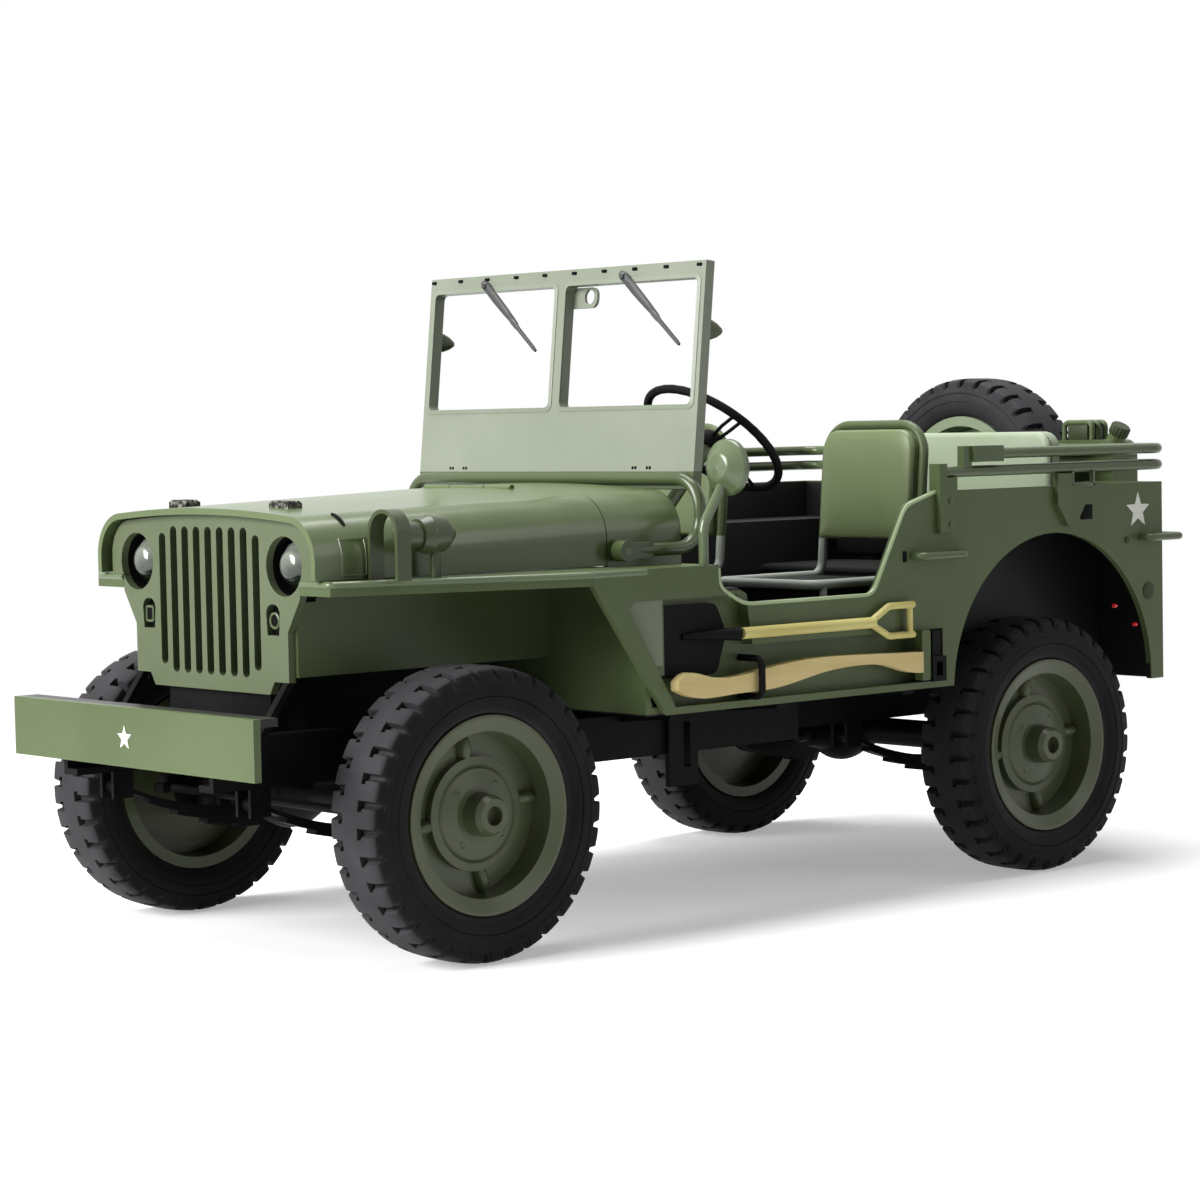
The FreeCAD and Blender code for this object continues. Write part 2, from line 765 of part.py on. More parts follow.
def grille():
    right = [(grille_foot_half, grille_low), (grille_notch_half, grille_notch_z),
             (grille_waist_half, grille_notch_z), (grille_waist_half, grille_waist_z),
             (grille_neck_half, grille_neck_z), (grille_neck_half, wing_top + seam)]
    left = [(-x, z) for x, z in reversed(right)]
    lower = plate(right + left, "xz", grille_front, grille_front + grille_thick)
    arch = arch_wire(grille_front, grille_head_half, wing_top + seam, grille_top, grille_shoulder, bonnet_crown)
    panel = fused([lower, Part.Face(arch).extrude(V(0, grille_thick, 0))])
    holes = []
    for number in range(slot_count):
        place_in_row = number - (slot_count - 1) / 2
        edge = number in (0, slot_count - 1)
        low, high = (outer_slot_low, outer_slot_high) if edge else (slot_low, slot_high)
        holes.append(slot(place_in_row * slot_pitch, low, high))
    ahead = V(0, grille_front - grille_thick, 0)
    for side in (-1, 1):
        at = V(side * lamp_x, 0, lamp_z) + ahead
        holes.append(Part.makeCylinder(lamp_opening, 3 * grille_thick, at, V(0, 1, 0)))
        half = marker_width / 2
        x = side * marker_x
        holes.append(plate([(x - half * 0.8, marker_z - marker_height / 2), (x + half * 0.8, marker_z - marker_height / 2),
                            (x + half, marker_z + marker_height / 2), (x - half, marker_z + marker_height / 2)],
                           "xz", grille_front - grille_thick, grille_front + 2 * grille_thick,
                           [0, 0, half * 0.8, half * 0.8]))
    return cut(panel, holes)


bucket_wall = 1.2
bucket_depth = 5.5
lens_radius = 6.4
lens_dome = 5.4


def bucket(x, z, radius, depth):
    at = V(x, grille_front + grille_thick, z)
    outer = Part.makeCylinder(radius + bucket_wall, depth, at, V(0, 1, 0))
    return outer.cut(Part.makeCylinder(radius, depth - bucket_wall, at, V(0, 1, 0)))


def lens(x, z, radius, dome, depth):
    back = V(x, grille_front + grille_thick + depth - bucket_wall, z)
    return turned([(0, 0), (0, radius), (dome / 3, radius), (dome, radius / 2), (dome * 1.1, 0)], back,
                  V(0, -1, 0), [0, 0, dome / 4, dome / 2, 0])


def headlamp_buckets():
    return both(bucket(lamp_x, lamp_z, lamp_opening - bearing_gap, bucket_depth))


def headlamps():
    return both(lens(lamp_x, lamp_z, lens_radius, lens_dome, bucket_depth))


def marker_lamps():
    half = marker_width / 2
    depth = bucket_wall * 2
    body = block(marker_x - half - bucket_wall, marker_x + half + bucket_wall, grille_front + grille_thick,
                 grille_front + grille_thick + depth, marker_z - marker_height / 2 - bucket_wall,
                 marker_z + marker_height / 2 + bucket_wall / 3)
    bulb = Part.makeCylinder(half * 0.6, grille_thick, V(marker_x, grille_front + bucket_wall / 2, marker_z), V(0, 1, 0))
    return both(fused([body, bulb]))


radiator_half = 22.0
radiator_thick = 5.0
radiator_high = 104.0


def radiator():
    front = grille_front + grille_thick + steer_gap
    return block(-radiator_half, radiator_half, front, front + radiator_thick, rail_top, radiator_high)


# Bonnet and cowl: crowned shells lofted between an arched outline at each end
def arch_wire(y, half, low, top, shoulder, crown):
    side_high = top - crown - shoulder
    edge = half - shoulder
    lean = shoulder * (1 - math.sqrt(0.5))
    points = [V(-half, y, low), V(-half, y, side_high), V(-edge, y, top - crown), V(0, y, top),
              V(edge, y, top - crown), V(half, y, side_high), V(half, y, low)]
    left_mid = V(-half + lean, y, top - crown - lean)
    right_mid = V(half - lean, y, top - crown - lean)
    edges = [Part.LineSegment(points[0], points[1]).toShape(),
             Part.Arc(points[1], left_mid, points[2]).toShape(),
             Part.Arc(points[2], points[3], points[4]).toShape(),
             Part.Arc(points[4], right_mid, points[5]).toShape(),
             Part.LineSegment(points[5], points[6]).toShape(),
             Part.LineSegment(points[6], points[0]).toShape()]
    return Part.Wire(edges)


def arch_shell(front, rear, half_front, half_rear, low, top_front, top_rear, overrun):
    outer = Part.makeLoft([arch_wire(front, half_front, low, top_front, bonnet_shoulder, bonnet_crown),
                           arch_wire(rear, half_rear, low, top_rear, bonnet_shoulder, bonnet_crown)], True, True)
    inner = Part.makeLoft([arch_wire(front - overrun, half_front - sheet, low - sheet, top_front - sheet,
                                     bonnet_shoulder - sheet, bonnet_crown),
                           arch_wire(rear + overrun, half_rear - sheet, low - sheet, top_rear - sheet,
                                     bonnet_shoulder - sheet, bonnet_crown)], True, True)
    return outer, inner


hinge_radius = 0.9
hinge_pin = 0.45
hinge_sink = 0.15
hinge_half = 18.0
hinge_middle = 7.0
hinge_y = (bonnet_rear + cowl_front) / 2
hinge_z = bonnet_top_rear - hinge_sink


def hinge_part(x0, x1, radius):
    return rod(V(x0, hinge_y, hinge_z), V(x1, hinge_y, hinge_z), radius)


def bonnet():
    # the middle knuckle of the hinge turns on the cowl's pin, and the rear edge is cut round the other two
    outer, inner = arch_shell(bonnet_front, bonnet_rear, bonnet_half_front, bonnet_half_rear, bonnet_low,
                              bonnet_top_front, bonnet_top_rear, seam)
    ends = both(hinge_part(hinge_middle, hinge_half + steer_gap, hinge_radius + steer_gap))
    shell = outer.cut(inner).cut(fused(ends))
    knuckle_middle = hinge_part(-hinge_middle, hinge_middle, hinge_radius)
    return fused([shell, knuckle_middle]).cut(hinge_part(-hinge_half, hinge_half, hinge_pin + bearing_gap))


cowl_half_rear = 57.0
cowl_top_rear = 113.6
dash_low = 99.0
pivot_reach = 60.4


def cowl():
    low = wing_top
    outer, inner = arch_shell(cowl_front, cowl_rear, bonnet_half_rear, cowl_half_rear, low, bonnet_top_rear,
                              cowl_top_rear, seam)
    shell = outer.cut(inner)
    dash = outer.common(block(-side_half, side_half, cowl_rear - sheet, cowl_rear, dash_low, tub_top + tub_corner * 2))
    ledge = []
    for plate_side in both(block(bonnet_half_rear - sheet, side_half - wall, firewall + wall, door_front, low - sheet, low)):
        ledge.append(plate_side)
    pins = both(rod(V(bonnet_half_rear - sheet, pivot_y, pivot_z), V(pivot_reach, pivot_y, pivot_z), pivot_radius))
    shell = shell.cut(hinge_part(-hinge_middle - steer_gap, hinge_middle + steer_gap, hinge_radius + steer_gap))
    knuckles = both(hinge_part(hinge_middle + steer_gap, hinge_half, hinge_radius))
    hinge = knuckles + [hinge_part(-hinge_half, hinge_half, hinge_pin)]
    return fused([shell, dash] + ledge + pins + hinge)


# Windscreen: a leaning frame with two panes open, and the tube bow that it folds on
eye_outer = 2.7
eye_start = 56.6
pad_length = 8.5
pad_share = 0.75


def windscreen():
    foot = screen_foot_z
    frame_plate = block(-screen_half, screen_half, screen_foot_y, screen_foot_y + screen_thick, foot,
                        foot + screen_height)
    panes = []
    for x0, x1 in ((-screen_half + window_edge, -window_bar / 2), (window_bar / 2, screen_half - window_edge)):
        panes.append(plate([(x0, foot + window_low), (x1, foot + window_low), (x1, foot + window_high),
                            (x0, foot + window_high)], "xz", screen_foot_y - screen_thick,
                           screen_foot_y + 2 * screen_thick, window_corner))
    frame_plate = cut(frame_plate, panes)
    frame_plate.rotate(V(0, screen_foot_y, foot), V(1, 0, 0), -screen_lean)
    middle = (eye_start + pivot_reach) / 2
    points = [V(-middle, pivot_y, pivot_z), V(-bow_half, bow_rear_y, pivot_z), V(-bow_half, bow_rear_y, bow_high),
              V(bow_half, bow_rear_y, bow_high), V(bow_half, bow_rear_y, pivot_z), V(middle, pivot_y, pivot_z)]
    bow = tube(points, bow_tube, [0, bow_low_bend, bow_high_bend, bow_high_bend, bow_low_bend, 0])
    eyes = both(rod(V(eye_start, pivot_y, pivot_z), V(pivot_reach, pivot_y, pivot_z), eye_outer))
    pads = both(block(eye_start, pivot_reach, pivot_y, pivot_y + pad_length, pivot_z - eye_outer * pad_share,
                      pivot_z + eye_outer * pad_share))
    holes = both(rod(V(eye_start - sheet, pivot_y, pivot_z), V(pivot_reach + sheet, pivot_y, pivot_z),
                     pivot_radius + bearing_gap))
    return fused([frame_plate, bow] + eyes + pads).cut(fused(holes))


# Steering wheel on its column
steer_x = 33.0
steer_y = 102.9
steer_z = 123.6
steer_radius = 18.4
steer_rim = 1.2
column_radius = 1.8
column_tilt = 50.0
steer_hub = 3.2


def steering_wheel():
    centre = V(steer_x, steer_y, steer_z)
    lean = math.radians(column_tilt)
    up_column = V(0, math.cos(lean), math.sin(lean))
    ring = Part.makeTorus(steer_radius, steer_rim, centre, up_column)
    spokes = []
    for number in range(3):
        turn = math.radians(90 + 120 * number)
        across = V(1, 0, 0) * math.cos(turn) + up_column.cross(V(1, 0, 0)) * math.sin(turn)
        spokes.append(rod(centre, centre + across * steer_radius, steer_rim / 2))
    hub = rod(centre - up_column * steer_hub, centre + up_column * steer_rim, steer_hub)
    foot = (steer_y - firewall - wall - column_radius * math.sin(lean) - steer_gap) / math.cos(lean)
    column = rod(centre - up_column * foot, centre, column_radius)
    return fused([ring, hub, column] + spokes)


# Seats: padded back and cushion on a bent tube frame
seat_in = 22.5
seat_out = 57.0
seat_back_gap = 3.0
seat_back_y = rear_box_front + seat_back_gap
seat_back_thick = 8.0
seat_back_low = 95.3
seat_back_high = 126.0
seat_lean = 5.0
cushion_length = 34.0
cushion_rear = rear_box_front
cushion_front = cushion_rear - cushion_length
cushion_low = 79.0
cushion_high = 86.0
pad_corner = 7.0
seat_tube = 1.3
seat_leg_share = 0.8
seat_rail_z = 85.0
seat_rail_bend = 4.0


def seat_back():
    solid = plate([(seat_in, seat_back_low), (seat_out, seat_back_low), (seat_out, seat_back_high),
                   (seat_in, seat_back_high)], "xz", seat_back_y, seat_back_y + seat_back_thick,
                  [seat_tube, seat_tube, pad_corner, pad_corner])
    solid.rotate(V(0, seat_back_y, seat_back_low), V(1, 0, 0), -seat_lean)
    return solid


def seat_cushion():
    return plate([(seat_in, cushion_front), (seat_out, cushion_front), (seat_out, cushion_rear),
                  (seat_in, cushion_rear)], "xy", cushion_low, cushion_high, pad_corner / 2)


def seat_frame():
    # a hoop of bent tube round the back and the cushion, made as two mirrored halves, on four legs
    floor = sill + floor_thick
    middle = (seat_in + seat_out) / 2
    reach = seat_tube + seam
    x = seat_out + reach
    front = cushion_front - reach
    lean = math.tan(math.radians(seat_lean))
    base_y = seat_back_y + seat_back_thick / 2 - (seat_back_low - seat_rail_z) * lean
    top = seat_back_high + reach
    top_y = base_y + (top - seat_rail_z) * lean
    half = tube([V(middle, front, seat_rail_z), V(x, front, seat_rail_z), V(x, base_y, seat_rail_z), V(x, top_y, top),
                 V(middle, top_y, top)], seat_tube, [0, seat_rail_bend, seat_rail_bend, pad_corner + reach, 0])
    other = half.mirror(V(middle, 0, 0), V(1, 0, 0))
    leg = seat_tube * seat_leg_share
    low = cushion_low - leg - seam
    far = 2 * middle - x
    inner = min(x, wheel_box_half - reach)
    pieces = [half, other]
    for y in (front + seat_rail_bend, cushion_rear - seat_rail_bend):
        pieces += [rod(V(far, y, floor), V(far, y, seat_rail_z), leg), rod(V(x, y, floor), V(x, y, seat_rail_z), leg),
                   rod(V(far, y, low), V(x, y, low), leg)]
    return fused(pieces)


bench_gap = 4.0
bench_half = wheel_box_half - bench_gap
bench_stand = 17.2
bench_length = 36.0
bench_back_y = tail - bench_stand
bench_front = bench_back_y - bench_length
bench_back_thick = 7.0
bench_low = 76.0
bench_high = 86.0
bench_back_high = 124.5


def rear_bench():
    cushion = plate([(-bench_half, bench_front), (bench_half, bench_front), (bench_half, bench_back_y),
                     (-bench_half, bench_back_y)], "xy", bench_low, bench_high, pad_corner / 2)
    back = plate([(-bench_half, bench_high), (bench_half, bench_high), (bench_half, bench_back_high),
                  (-bench_half, bench_back_high)], "xz", bench_back_y + seam, bench_back_y + bench_back_thick,
                 [seat_tube, seat_tube, pad_corner, pad_corner])
    return cushion, back


def bench_frame():
    floor = sill + floor_thick
    level = bench_low - seat_tube
    post = seat_tube * seat_leg_share
    cross = post * seat_leg_share
    half = bench_half - pad_corner
    legs = []
    for x in (-half, half):
        for y in (bench_front + pad_corner, bench_back_y - pad_corner):
            legs.append(rod(V(x, y, floor), V(x, y, level), post))
        legs.append(rod(V(x, bench_front + seat_tube * 2, level), V(x, bench_back_y, level), seat_tube))
    for y in (bench_front + pad_corner, bench_back_y - pad_corner):
        legs.append(rod(V(-half, y, level), V(half, y, level), cross))
    return fused(legs)


# Folded top bows along the tub's upper edge, and the brackets that hold them
top_bow_radius = 1.5
top_bow_low = 114.3
top_bow_high = 119.0
bow_lead = 42.0
top_bow_front = wheelbase - bow_lead
top_bow_rear = tail + top_bow_radius
top_bow_bend = 5.5
bow_step = 6.5
upper_bow_front = top_bow_front + bow_step
clamp_long = 12.0
clamp_thick = 4.4
link_long = 3.4
bracket_length = 7.0
bracket_front = top_bow_front - bracket_length
bracket_rear = top_bow_front
bracket_low = 97.8
bracket_thick = 1.6
bracket_head = 3.0
catch_lead = 0.0
catch_span = 12.0
catch_high = 104.0


def top_bow(front, level):
    points = [V(-side_half, front, level), V(-side_half, top_bow_rear, level),
              V(side_half, top_bow_rear, level), V(side_half, front, level)]
    return tube(points, top_bow_radius, top_bow_bend)


def top_bows():
    # the lower bow ends in the bracket, the upper one in a clamp that stands on the lower one
    half = clamp_thick / 2
    clamps = both(block(side_half - half, side_half + half, upper_bow_front, upper_bow_front + clamp_long,
                        top_bow_high - half, top_bow_high + half))
    links = both(block(side_half - half / 2, side_half + half / 2, upper_bow_front - link_long, upper_bow_front,
                       top_bow_low, top_bow_high + half))
    return fused([top_bow(bracket_front + bracket_head, top_bow_low), top_bow(upper_bow_front, top_bow_high)] + clamps + links)


def bow_brackets():
    # an upright strap on the tub's side with a head that the lower bow ends in, and a catch further back
    head_half = top_bow_radius + bracket_thick / 2
    strap = block(side_half, side_half + bracket_thick, bracket_front, bracket_rear, bracket_low,
                  top_bow_low - top_bow_radius)
    head = block(side_half - head_half, side_half + bracket_thick, bracket_front, bracket_front + bracket_head - seam,
                 tub_top, top_bow_low + head_half)
    front = wheelbase - catch_lead
    middle = front + catch_span / 2
    catch = plate([(front, catch_high), (middle - bracket_head / 2, bracket_low), (middle + bracket_head / 2, bracket_low),
                   (front + catch_span, catch_high), (front + catch_span, tub_top), (middle, tub_top),
                   (middle, top_bow_low - top_bow_radius - seam), (front, top_bow_low - top_bow_radius - seam)], "yz",
                  side_half, side_half + bracket_thick)
    return both(fused([strap, head])) + both(catch)


# Spare wheel on its carrier
carrier_radius = 7.4


def spare():
    centre = V(spare_x, spare_y, spare_z)
    axis = V(0, 1, 0)
    carrier_end = spare_y + spindle_end - wheel_offset
    arm = fused([rod(V(spare_x, tail, spare_z), V(spare_x, spare_y - rim_width / 2 - seam, spare_z), carrier_radius),
                 rod(V(spare_x, tail, spare_z), V(spare_x, carrier_end, spare_z), spindle_radius)])
    arm = arm.common(block(-side_half, side_half, tail, spare_y + tyre_width, sill, tub_top + tyre_radius))
    brace = block(spare_x - carrier_radius, spare_x + carrier_radius, tail, tail + bracket_thick,
                  sill + carrier_radius * 3, spare_z)
    save("spare_rim", rim_solid(centre, axis))
    save("spare_tyre", tyre_solid(centre, axis))
    save("spare_carrier", fused([arm, brace]))


# Fuel can in its rack on the tail panel
can_in = 27.5
can_out = 52.0
can_stand = 3.3
can_deep = 11.5
can_front = tail + can_stand
can_rear = can_front + can_deep
can_low = 79.0
can_high = 121.5
can_handle = 6.0
can_corner = 4.0
can_spout = 2.6


def fuel_can():
    # three bars to carry it by, and a cap on a short neck that leans outward
    body = plate([(can_in, can_low), (can_out, can_low), (can_out, can_high), (can_in, can_high)], "xz",
                 can_front, can_rear, can_corner)
    middle = (can_front + can_rear) / 2
    neck = V(can_out - can_corner * 1.5, middle, can_high - can_corner)
    spout = rod(neck, neck + V(can_corner, 0, can_corner + can_spout), can_spout)
    top = can_high + can_handle - bracket_thick / 2
    inner, outer = can_in + can_corner, can_out - can_corner * 2.5
    handles = []
    for y in (can_front + can_spout, middle, can_rear - can_spout):
        handles.append(tube([V(inner, y, can_high - bracket_thick), V(inner, y, top), V(outer, y, top),
                             V(outer, y, can_high - bracket_thick)], bracket_thick / 2, bracket_thick))
    return fused([body, spout] + handles)


def can_rack():
    shelf = block(can_in, can_out, tail, can_rear, can_low - bracket_thick, can_low)
    back = block(can_in, can_out, tail, can_front, can_low, can_low + can_corner * 5)
    return fused([shelf, back])


# Tail fittings
bumperette_in = 20.0
bumperette_out = 42.0
bumperette_gap = 2.8
bumperette_front = tail + bumperette_gap
bumperette_deep = 6.0
hook_radius = 5.0
hook_hole = 2.5
hook_thick = 4.0


def rear_bumperettes():
    low = rail_bottom + rail_wall
    bar = block(bumperette_in, bumperette_out, bumperette_front, bumperette_front + bumperette_deep, low, rail_top)
    arm = block(rail_inner, rail_outer, frame_tail, bumperette_front, low, rail_top - rail_wall)
    return both(fused([bar, arm]))


def tow_hook():
    middle = (rail_bottom + rail_top) / 2
    low = middle - hook_thick / 2
    eye_y = tail + hook_radius * 2
    bar = block(-hook_radius / 2, hook_radius / 2, frame_tail, eye_y - hook_hole - seam * 4, low, low + hook_thick)
    ring = Part.makeCylinder(hook_radius, hook_thick, V(0, eye_y, low))
    hole = Part.makeCylinder(hook_hole, hook_thick, V(0, eye_y, low))
    return fused([bar, ring]).cut(hole)


tail_lamp_x = 66.0
tail_lamp_z = 102.0
tail_lamp_radius = 4.0
tail_lamp_thick = 2.6


def tail_lamps():
    return both(rod(V(tail_lamp_x, tail, tail_lamp_z), V(tail_lamp_x, tail + tail_lamp_thick, tail_lamp_z),
                    tail_lamp_radius))


# Grab handles on the sides and round the rear corners
handle_radius = 1.1
handle_reach = 4.0
handle_overlap = 9.5
side_handle_front = bracket_front - handle_overlap
side_handle_rear = bracket_rear + handle_radius
side_handle_z = 92.0
corner_handle_length = 10.2
corner_handle_front = tail - corner_handle_length
corner_handle_z = 93.4


def handles():
    side = tube([V(side_half, side_handle_front, side_handle_z), V(side_half + handle_reach, side_handle_front, side_handle_z),
                 V(side_half + handle_reach, side_handle_rear, side_handle_z), V(side_half, side_handle_rear, side_handle_z)],
                handle_radius, handle_reach / 2)
    end_x = side_half - handle_reach * 2
    rear = tube([V(side_half, corner_handle_front, corner_handle_z), V(side_half + handle_reach, corner_handle_front, corner_handle_z),
                 V(side_half + handle_reach, tail + handle_reach, corner_handle_z), V(end_x, tail + handle_reach, corner_handle_z),
                 V(end_x, tail, corner_handle_z)], handle_radius, handle_reach / 2)
    return both(side) + both(rear)


# Shovel and axe on the left side
blade_low = 65.0
blade_high = 83.2
shovel_z = 75.2
shovel_end_lead = 29.1
shovel_fork_lead = 13.5
axe_lead = 11.3
axe_length = 90.0
socket_lead = 12.0
socket_front = blade_rear - socket_lead
socket_long = 16.5
socket_rear = socket_front + socket_long
shovel_end = recess["rear"] - shovel_end_lead
shovel_fork = recess["rear"] - shovel_fork_lead
grip_half = 4.0
tool_x = side_half + haft + steer_gap
axe_rear = recess["rear"] - axe_lead
axe_front = axe_rear - axe_length
axe_low = 60.0
axe_high = 7.2
axe_thick = 3.0
axe_top_shares = [(0.0, 0.6), (0.045, 0.89), (0.11, 0.73), (0.33, 0.78), (0.47, 0.97), (0.7, 1.0), (1.0, 0.88)]
axe_foot_shares = [(1.0, 0.1), (0.93, 0.2), (0.84, 0.5), (0.72, 0.6), (0.59, 0.5), (0.38, 0.08), (0.2, 0.0), (0.07, 0.0),
                   (0.0, 0.32)]
clamp_lead = 27.8
clamp_y = axe_front + clamp_lead
clamp_deep = 3.0
hoop_radius = 0.9
hoop_high = 9.8
hoop_reach = 3.8
axe_head_high = 13.6
axe_head_long = 3.4
clip_front = axe_rear + axe_head_long + steer_gap
clip_long = 5.4
clip_high = 71.6
clip_waist = 64.8
clip_low = 58.0


def shovel():
    # the blade narrows to a socket, and the handle's fork ends in a grip
    back = side_half - recess_depth
    blade = plate([(blade_front, blade_low), (blade_rear, blade_low), (blade_rear + 2 * haft, shovel_z - haft),
                   (blade_rear + 2 * haft, shovel_z + haft), (blade_rear, blade_high), (blade_front, blade_high)],
                  "yz", back, back + haft, [haft, haft * 2, 0, 0, haft * 2, haft])
    start = V(back + haft, socket_front, shovel_z)
    mouth = V(tool_x, socket_rear, shovel_z)
    socket = Part.makeCone(haft / 2, haft * 1.2, (mouth - start).Length, start, mouth - start)
    handle = rod(mouth + V(0, haft / 2, 0), V(tool_x, shovel_end, shovel_z), haft)
    knee = shovel_end + haft * 4
    prongs = []
    for side in (-1, 1):
        level = shovel_z + side * grip_half
        prongs.append(tube([V(tool_x, shovel_end - haft, shovel_z), V(tool_x, knee, level),
                            V(tool_x, shovel_fork, level)], haft * 0.62, haft * 2))
    grip = rod(V(tool_x, shovel_fork - haft, shovel_z - grip_half), V(tool_x, shovel_fork - haft, shovel_z + grip_half),
               haft * 0.6)
    return fused([blade, socket]), fused([handle, grip] + prongs)


def axe_line(shares):
    curve = Part.BSplineCurve()
    curve.interpolate([V(tool_x - axe_thick / 2, axe_front + axe_length * along, axe_low + axe_high * up)
                       for along, up in shares])
    return curve.toShape()


def axe():
    # two smooth lines, closed at both ends, give the swelling handle
    top = axe_line(axe_top_shares)
    foot = axe_line(axe_foot_shares)
    tail_end = Part.LineSegment(top.Vertexes[-1].Point, foot.Vertexes[0].Point).toShape()
    knob = Part.LineSegment(foot.Vertexes[-1].Point, top.Vertexes[0].Point).toShape()
    return Part.Face(Part.Wire([top, tail_end, foot, knob])).extrude(V(axe_thick, 0, 0))


def axe_head():
    low = axe_low - haft
    return plate([(axe_rear + seam, low), (axe_rear + axe_head_long, low), (axe_rear + axe_head_long, low + axe_head_high),
                  (axe_rear + seam, low + axe_head_high)], "yz", side_half + seam, tool_x + axe_thick / 3, haft / 2)


def tool_clamps():
    # a hoop over the axe's handle on a block, and the clip that holds the axe's head
    back = side_half - recess_depth
    rest = block(back, tool_x - axe_thick / 2, clamp_y - clamp_deep / 2, clamp_y + clamp_deep / 2,
                 axe_low + haft / 2, axe_low + haft * 2)
    low = recess["low"] + hoop_radius + seam * 2
    high = low + hoop_high
    out = tool_x + hoop_reach - hoop_radius
    hoop = tube([V(back, clamp_y, low), V(out, clamp_y, low), V(out, clamp_y, high), V(back, clamp_y, high)],
                hoop_radius, hoop_high / 5)
    rear = clip_front + clip_long
    clip = [block(back, tool_x, clip_front + haft, rear - haft / 2, clip_waist, clip_high),
            block(back, tool_x + haft, clip_front, rear, clip_low, clip_waist)]
    pocket = block(tool_x - haft, tool_x + haft * 2, clip_front + haft, rear - haft, clip_low + haft, clip_waist - haft)
    return [fused([rest, hoop]), fused(clip).cut(pocket)]


# Mirror, blackout lamp and its guard
mirror_radius = 7.3
mirror_x = bow_half + bow_tube + steer_gap + mirror_radius
mirror_y = 82.0
mirror_z = 117.5
mirror_thick = 4.4
mirror_foot_y = 72.4
arm_radius = 1.3
blackout_x = 55.2
blackout_y = -9.0
blackout_z = 103.5
blackout_radius = 4.8
blackout_length = 11.0
barrel_radius = 3.2
barrel_length = 6.5
guard_front = -19.5
guard_deep = 4.2
guard_half = 5.8
guard_high = 110.0
guard_thick = 1.0


def mirror():
    head = turned([(0, 0), (0, mirror_radius), (-mirror_thick / 3, mirror_radius), (-mirror_thick, mirror_radius / 2),
                   (-mirror_thick * 1.1, 0)], V(mirror_x, mirror_y, mirror_z), V(0, 1, 0),
                  [0, 0, mirror_thick / 4, mirror_thick / 2, 0])
    foot = V(mirror_x, mirror_foot_y, wing_top - arm_radius)
    knee = V(mirror_x, mirror_foot_y, mirror_z - mirror_radius * 2)
    top = V(mirror_x, mirror_y - mirror_thick / 2, mirror_z - mirror_radius / 2)
    stalk = tube([foot, knee, top], arm_radius, mirror_radius)
    stalk = stalk.cut(block(0, side_half + mirror_radius, 0, cowl_rear, 0, wing_top + seam))
    return fused([head, stalk])


def blackout_lamp():
    # a bucket with a narrower barrel in front, on a post
    centre = V(blackout_x, blackout_y, blackout_z)
    body = turned([(0, 0), (0, blackout_radius * 0.8), (blackout_length / 4, blackout_radius),
                   (blackout_length * 0.7, blackout_radius * 0.9), (blackout_length, blackout_radius * 0.3),
                   (blackout_length, 0)], centre, V(0, 1, 0), [0, 0, haft, haft, 0, 0])
    barrel = turned([(0, 0), (0, barrel_radius), (barrel_length * 0.8, barrel_radius), (barrel_length, barrel_radius / 3),
                     (barrel_length, 0)], centre, V(0, -1, 0), [0, 0, barrel_radius / 2, 0, 0])
    middle = blackout_y + blackout_length / 2
    post = rod(V(blackout_x, middle, wing_top), V(blackout_x, middle, blackout_z), arm_radius)
    return fused([body, barrel, post])


def lamp_guard():
    # a flat strip bent to an arch across the front of the lamp
    inner, outer = blackout_x - guard_half, blackout_x + guard_half
    low, high = wing_top, guard_high
    ring = [(inner, low), (outer, low), (outer, high), (inner, high)]
    hole = [(inner + guard_thick, low - guard_thick), (outer - guard_thick, low - guard_thick),
            (outer - guard_thick, high - guard_thick), (inner + guard_thick, high - guard_thick)]
    bend = guard_half - seam
    arch = plate(ring, "xz", guard_front, guard_front + guard_deep, [0, 0, bend, bend])
    bend -= guard_thick
    return arch.cut(plate(hole, "xz", guard_front, guard_front + guard_deep, [0, 0, bend, bend]))


# Wipers and the rests on the bonnet
wiper_pivots = {"right": -31.6, "left": 26.1}
wiper_high = 56.5
wiper_reach_x = 23.9
wiper_drop = 19.0
wiper_radius = 0.6
rest_places = {"right": -24.4, "left": 19.6}
rest_y = -24.0
rest_length = 8.0
rest_width = 4.4
rest_high = 1.7


def wipers():
    pieces = []
    for x in wiper_pivots.values():
        front = screen_foot_y - wiper_radius * 2
        top = V(x, front, screen_foot_z + wiper_high)
        length = math.hypot(wiper_reach_x, wiper_drop)
        arm = block(x, x + length, front - wiper_radius, front + wiper_radius, top.z - wiper_radius, top.z + wiper_radius)
        arm.rotate(top, V(0, 1, 0), math.degrees(math.atan2(wiper_drop, wiper_reach_x)))
        boss = rod(V(x, screen_foot_y, top.z), V(x, front - wiper_radius * 1.5, top.z), wiper_radius * 2)
        pair = fused([arm, boss])
        pair.rotate(V(0, screen_foot_y, screen_foot_z), V(1, 0, 0), -screen_lean)
        pieces.append(pair)
    return pieces


def bonnet_rests():
    pieces = []
    for x in rest_places.values():
        pieces.append(block(x - rest_length / 2, x + rest_length / 2, rest_y, rest_y + rest_width, 0,
                            bonnet_top_front + rest_high))
    outer, inner = arch_shell(bonnet_front, bonnet_rear, bonnet_half_front, bonnet_half_rear, bonnet_low,
                              bonnet_top_front, bonnet_top_rear, seam)
    under = block(-side_half, side_half, bonnet_front, bonnet_rear, 0, bonnet_low)
    return [piece.cut(fused([outer, under])) for piece in pieces]


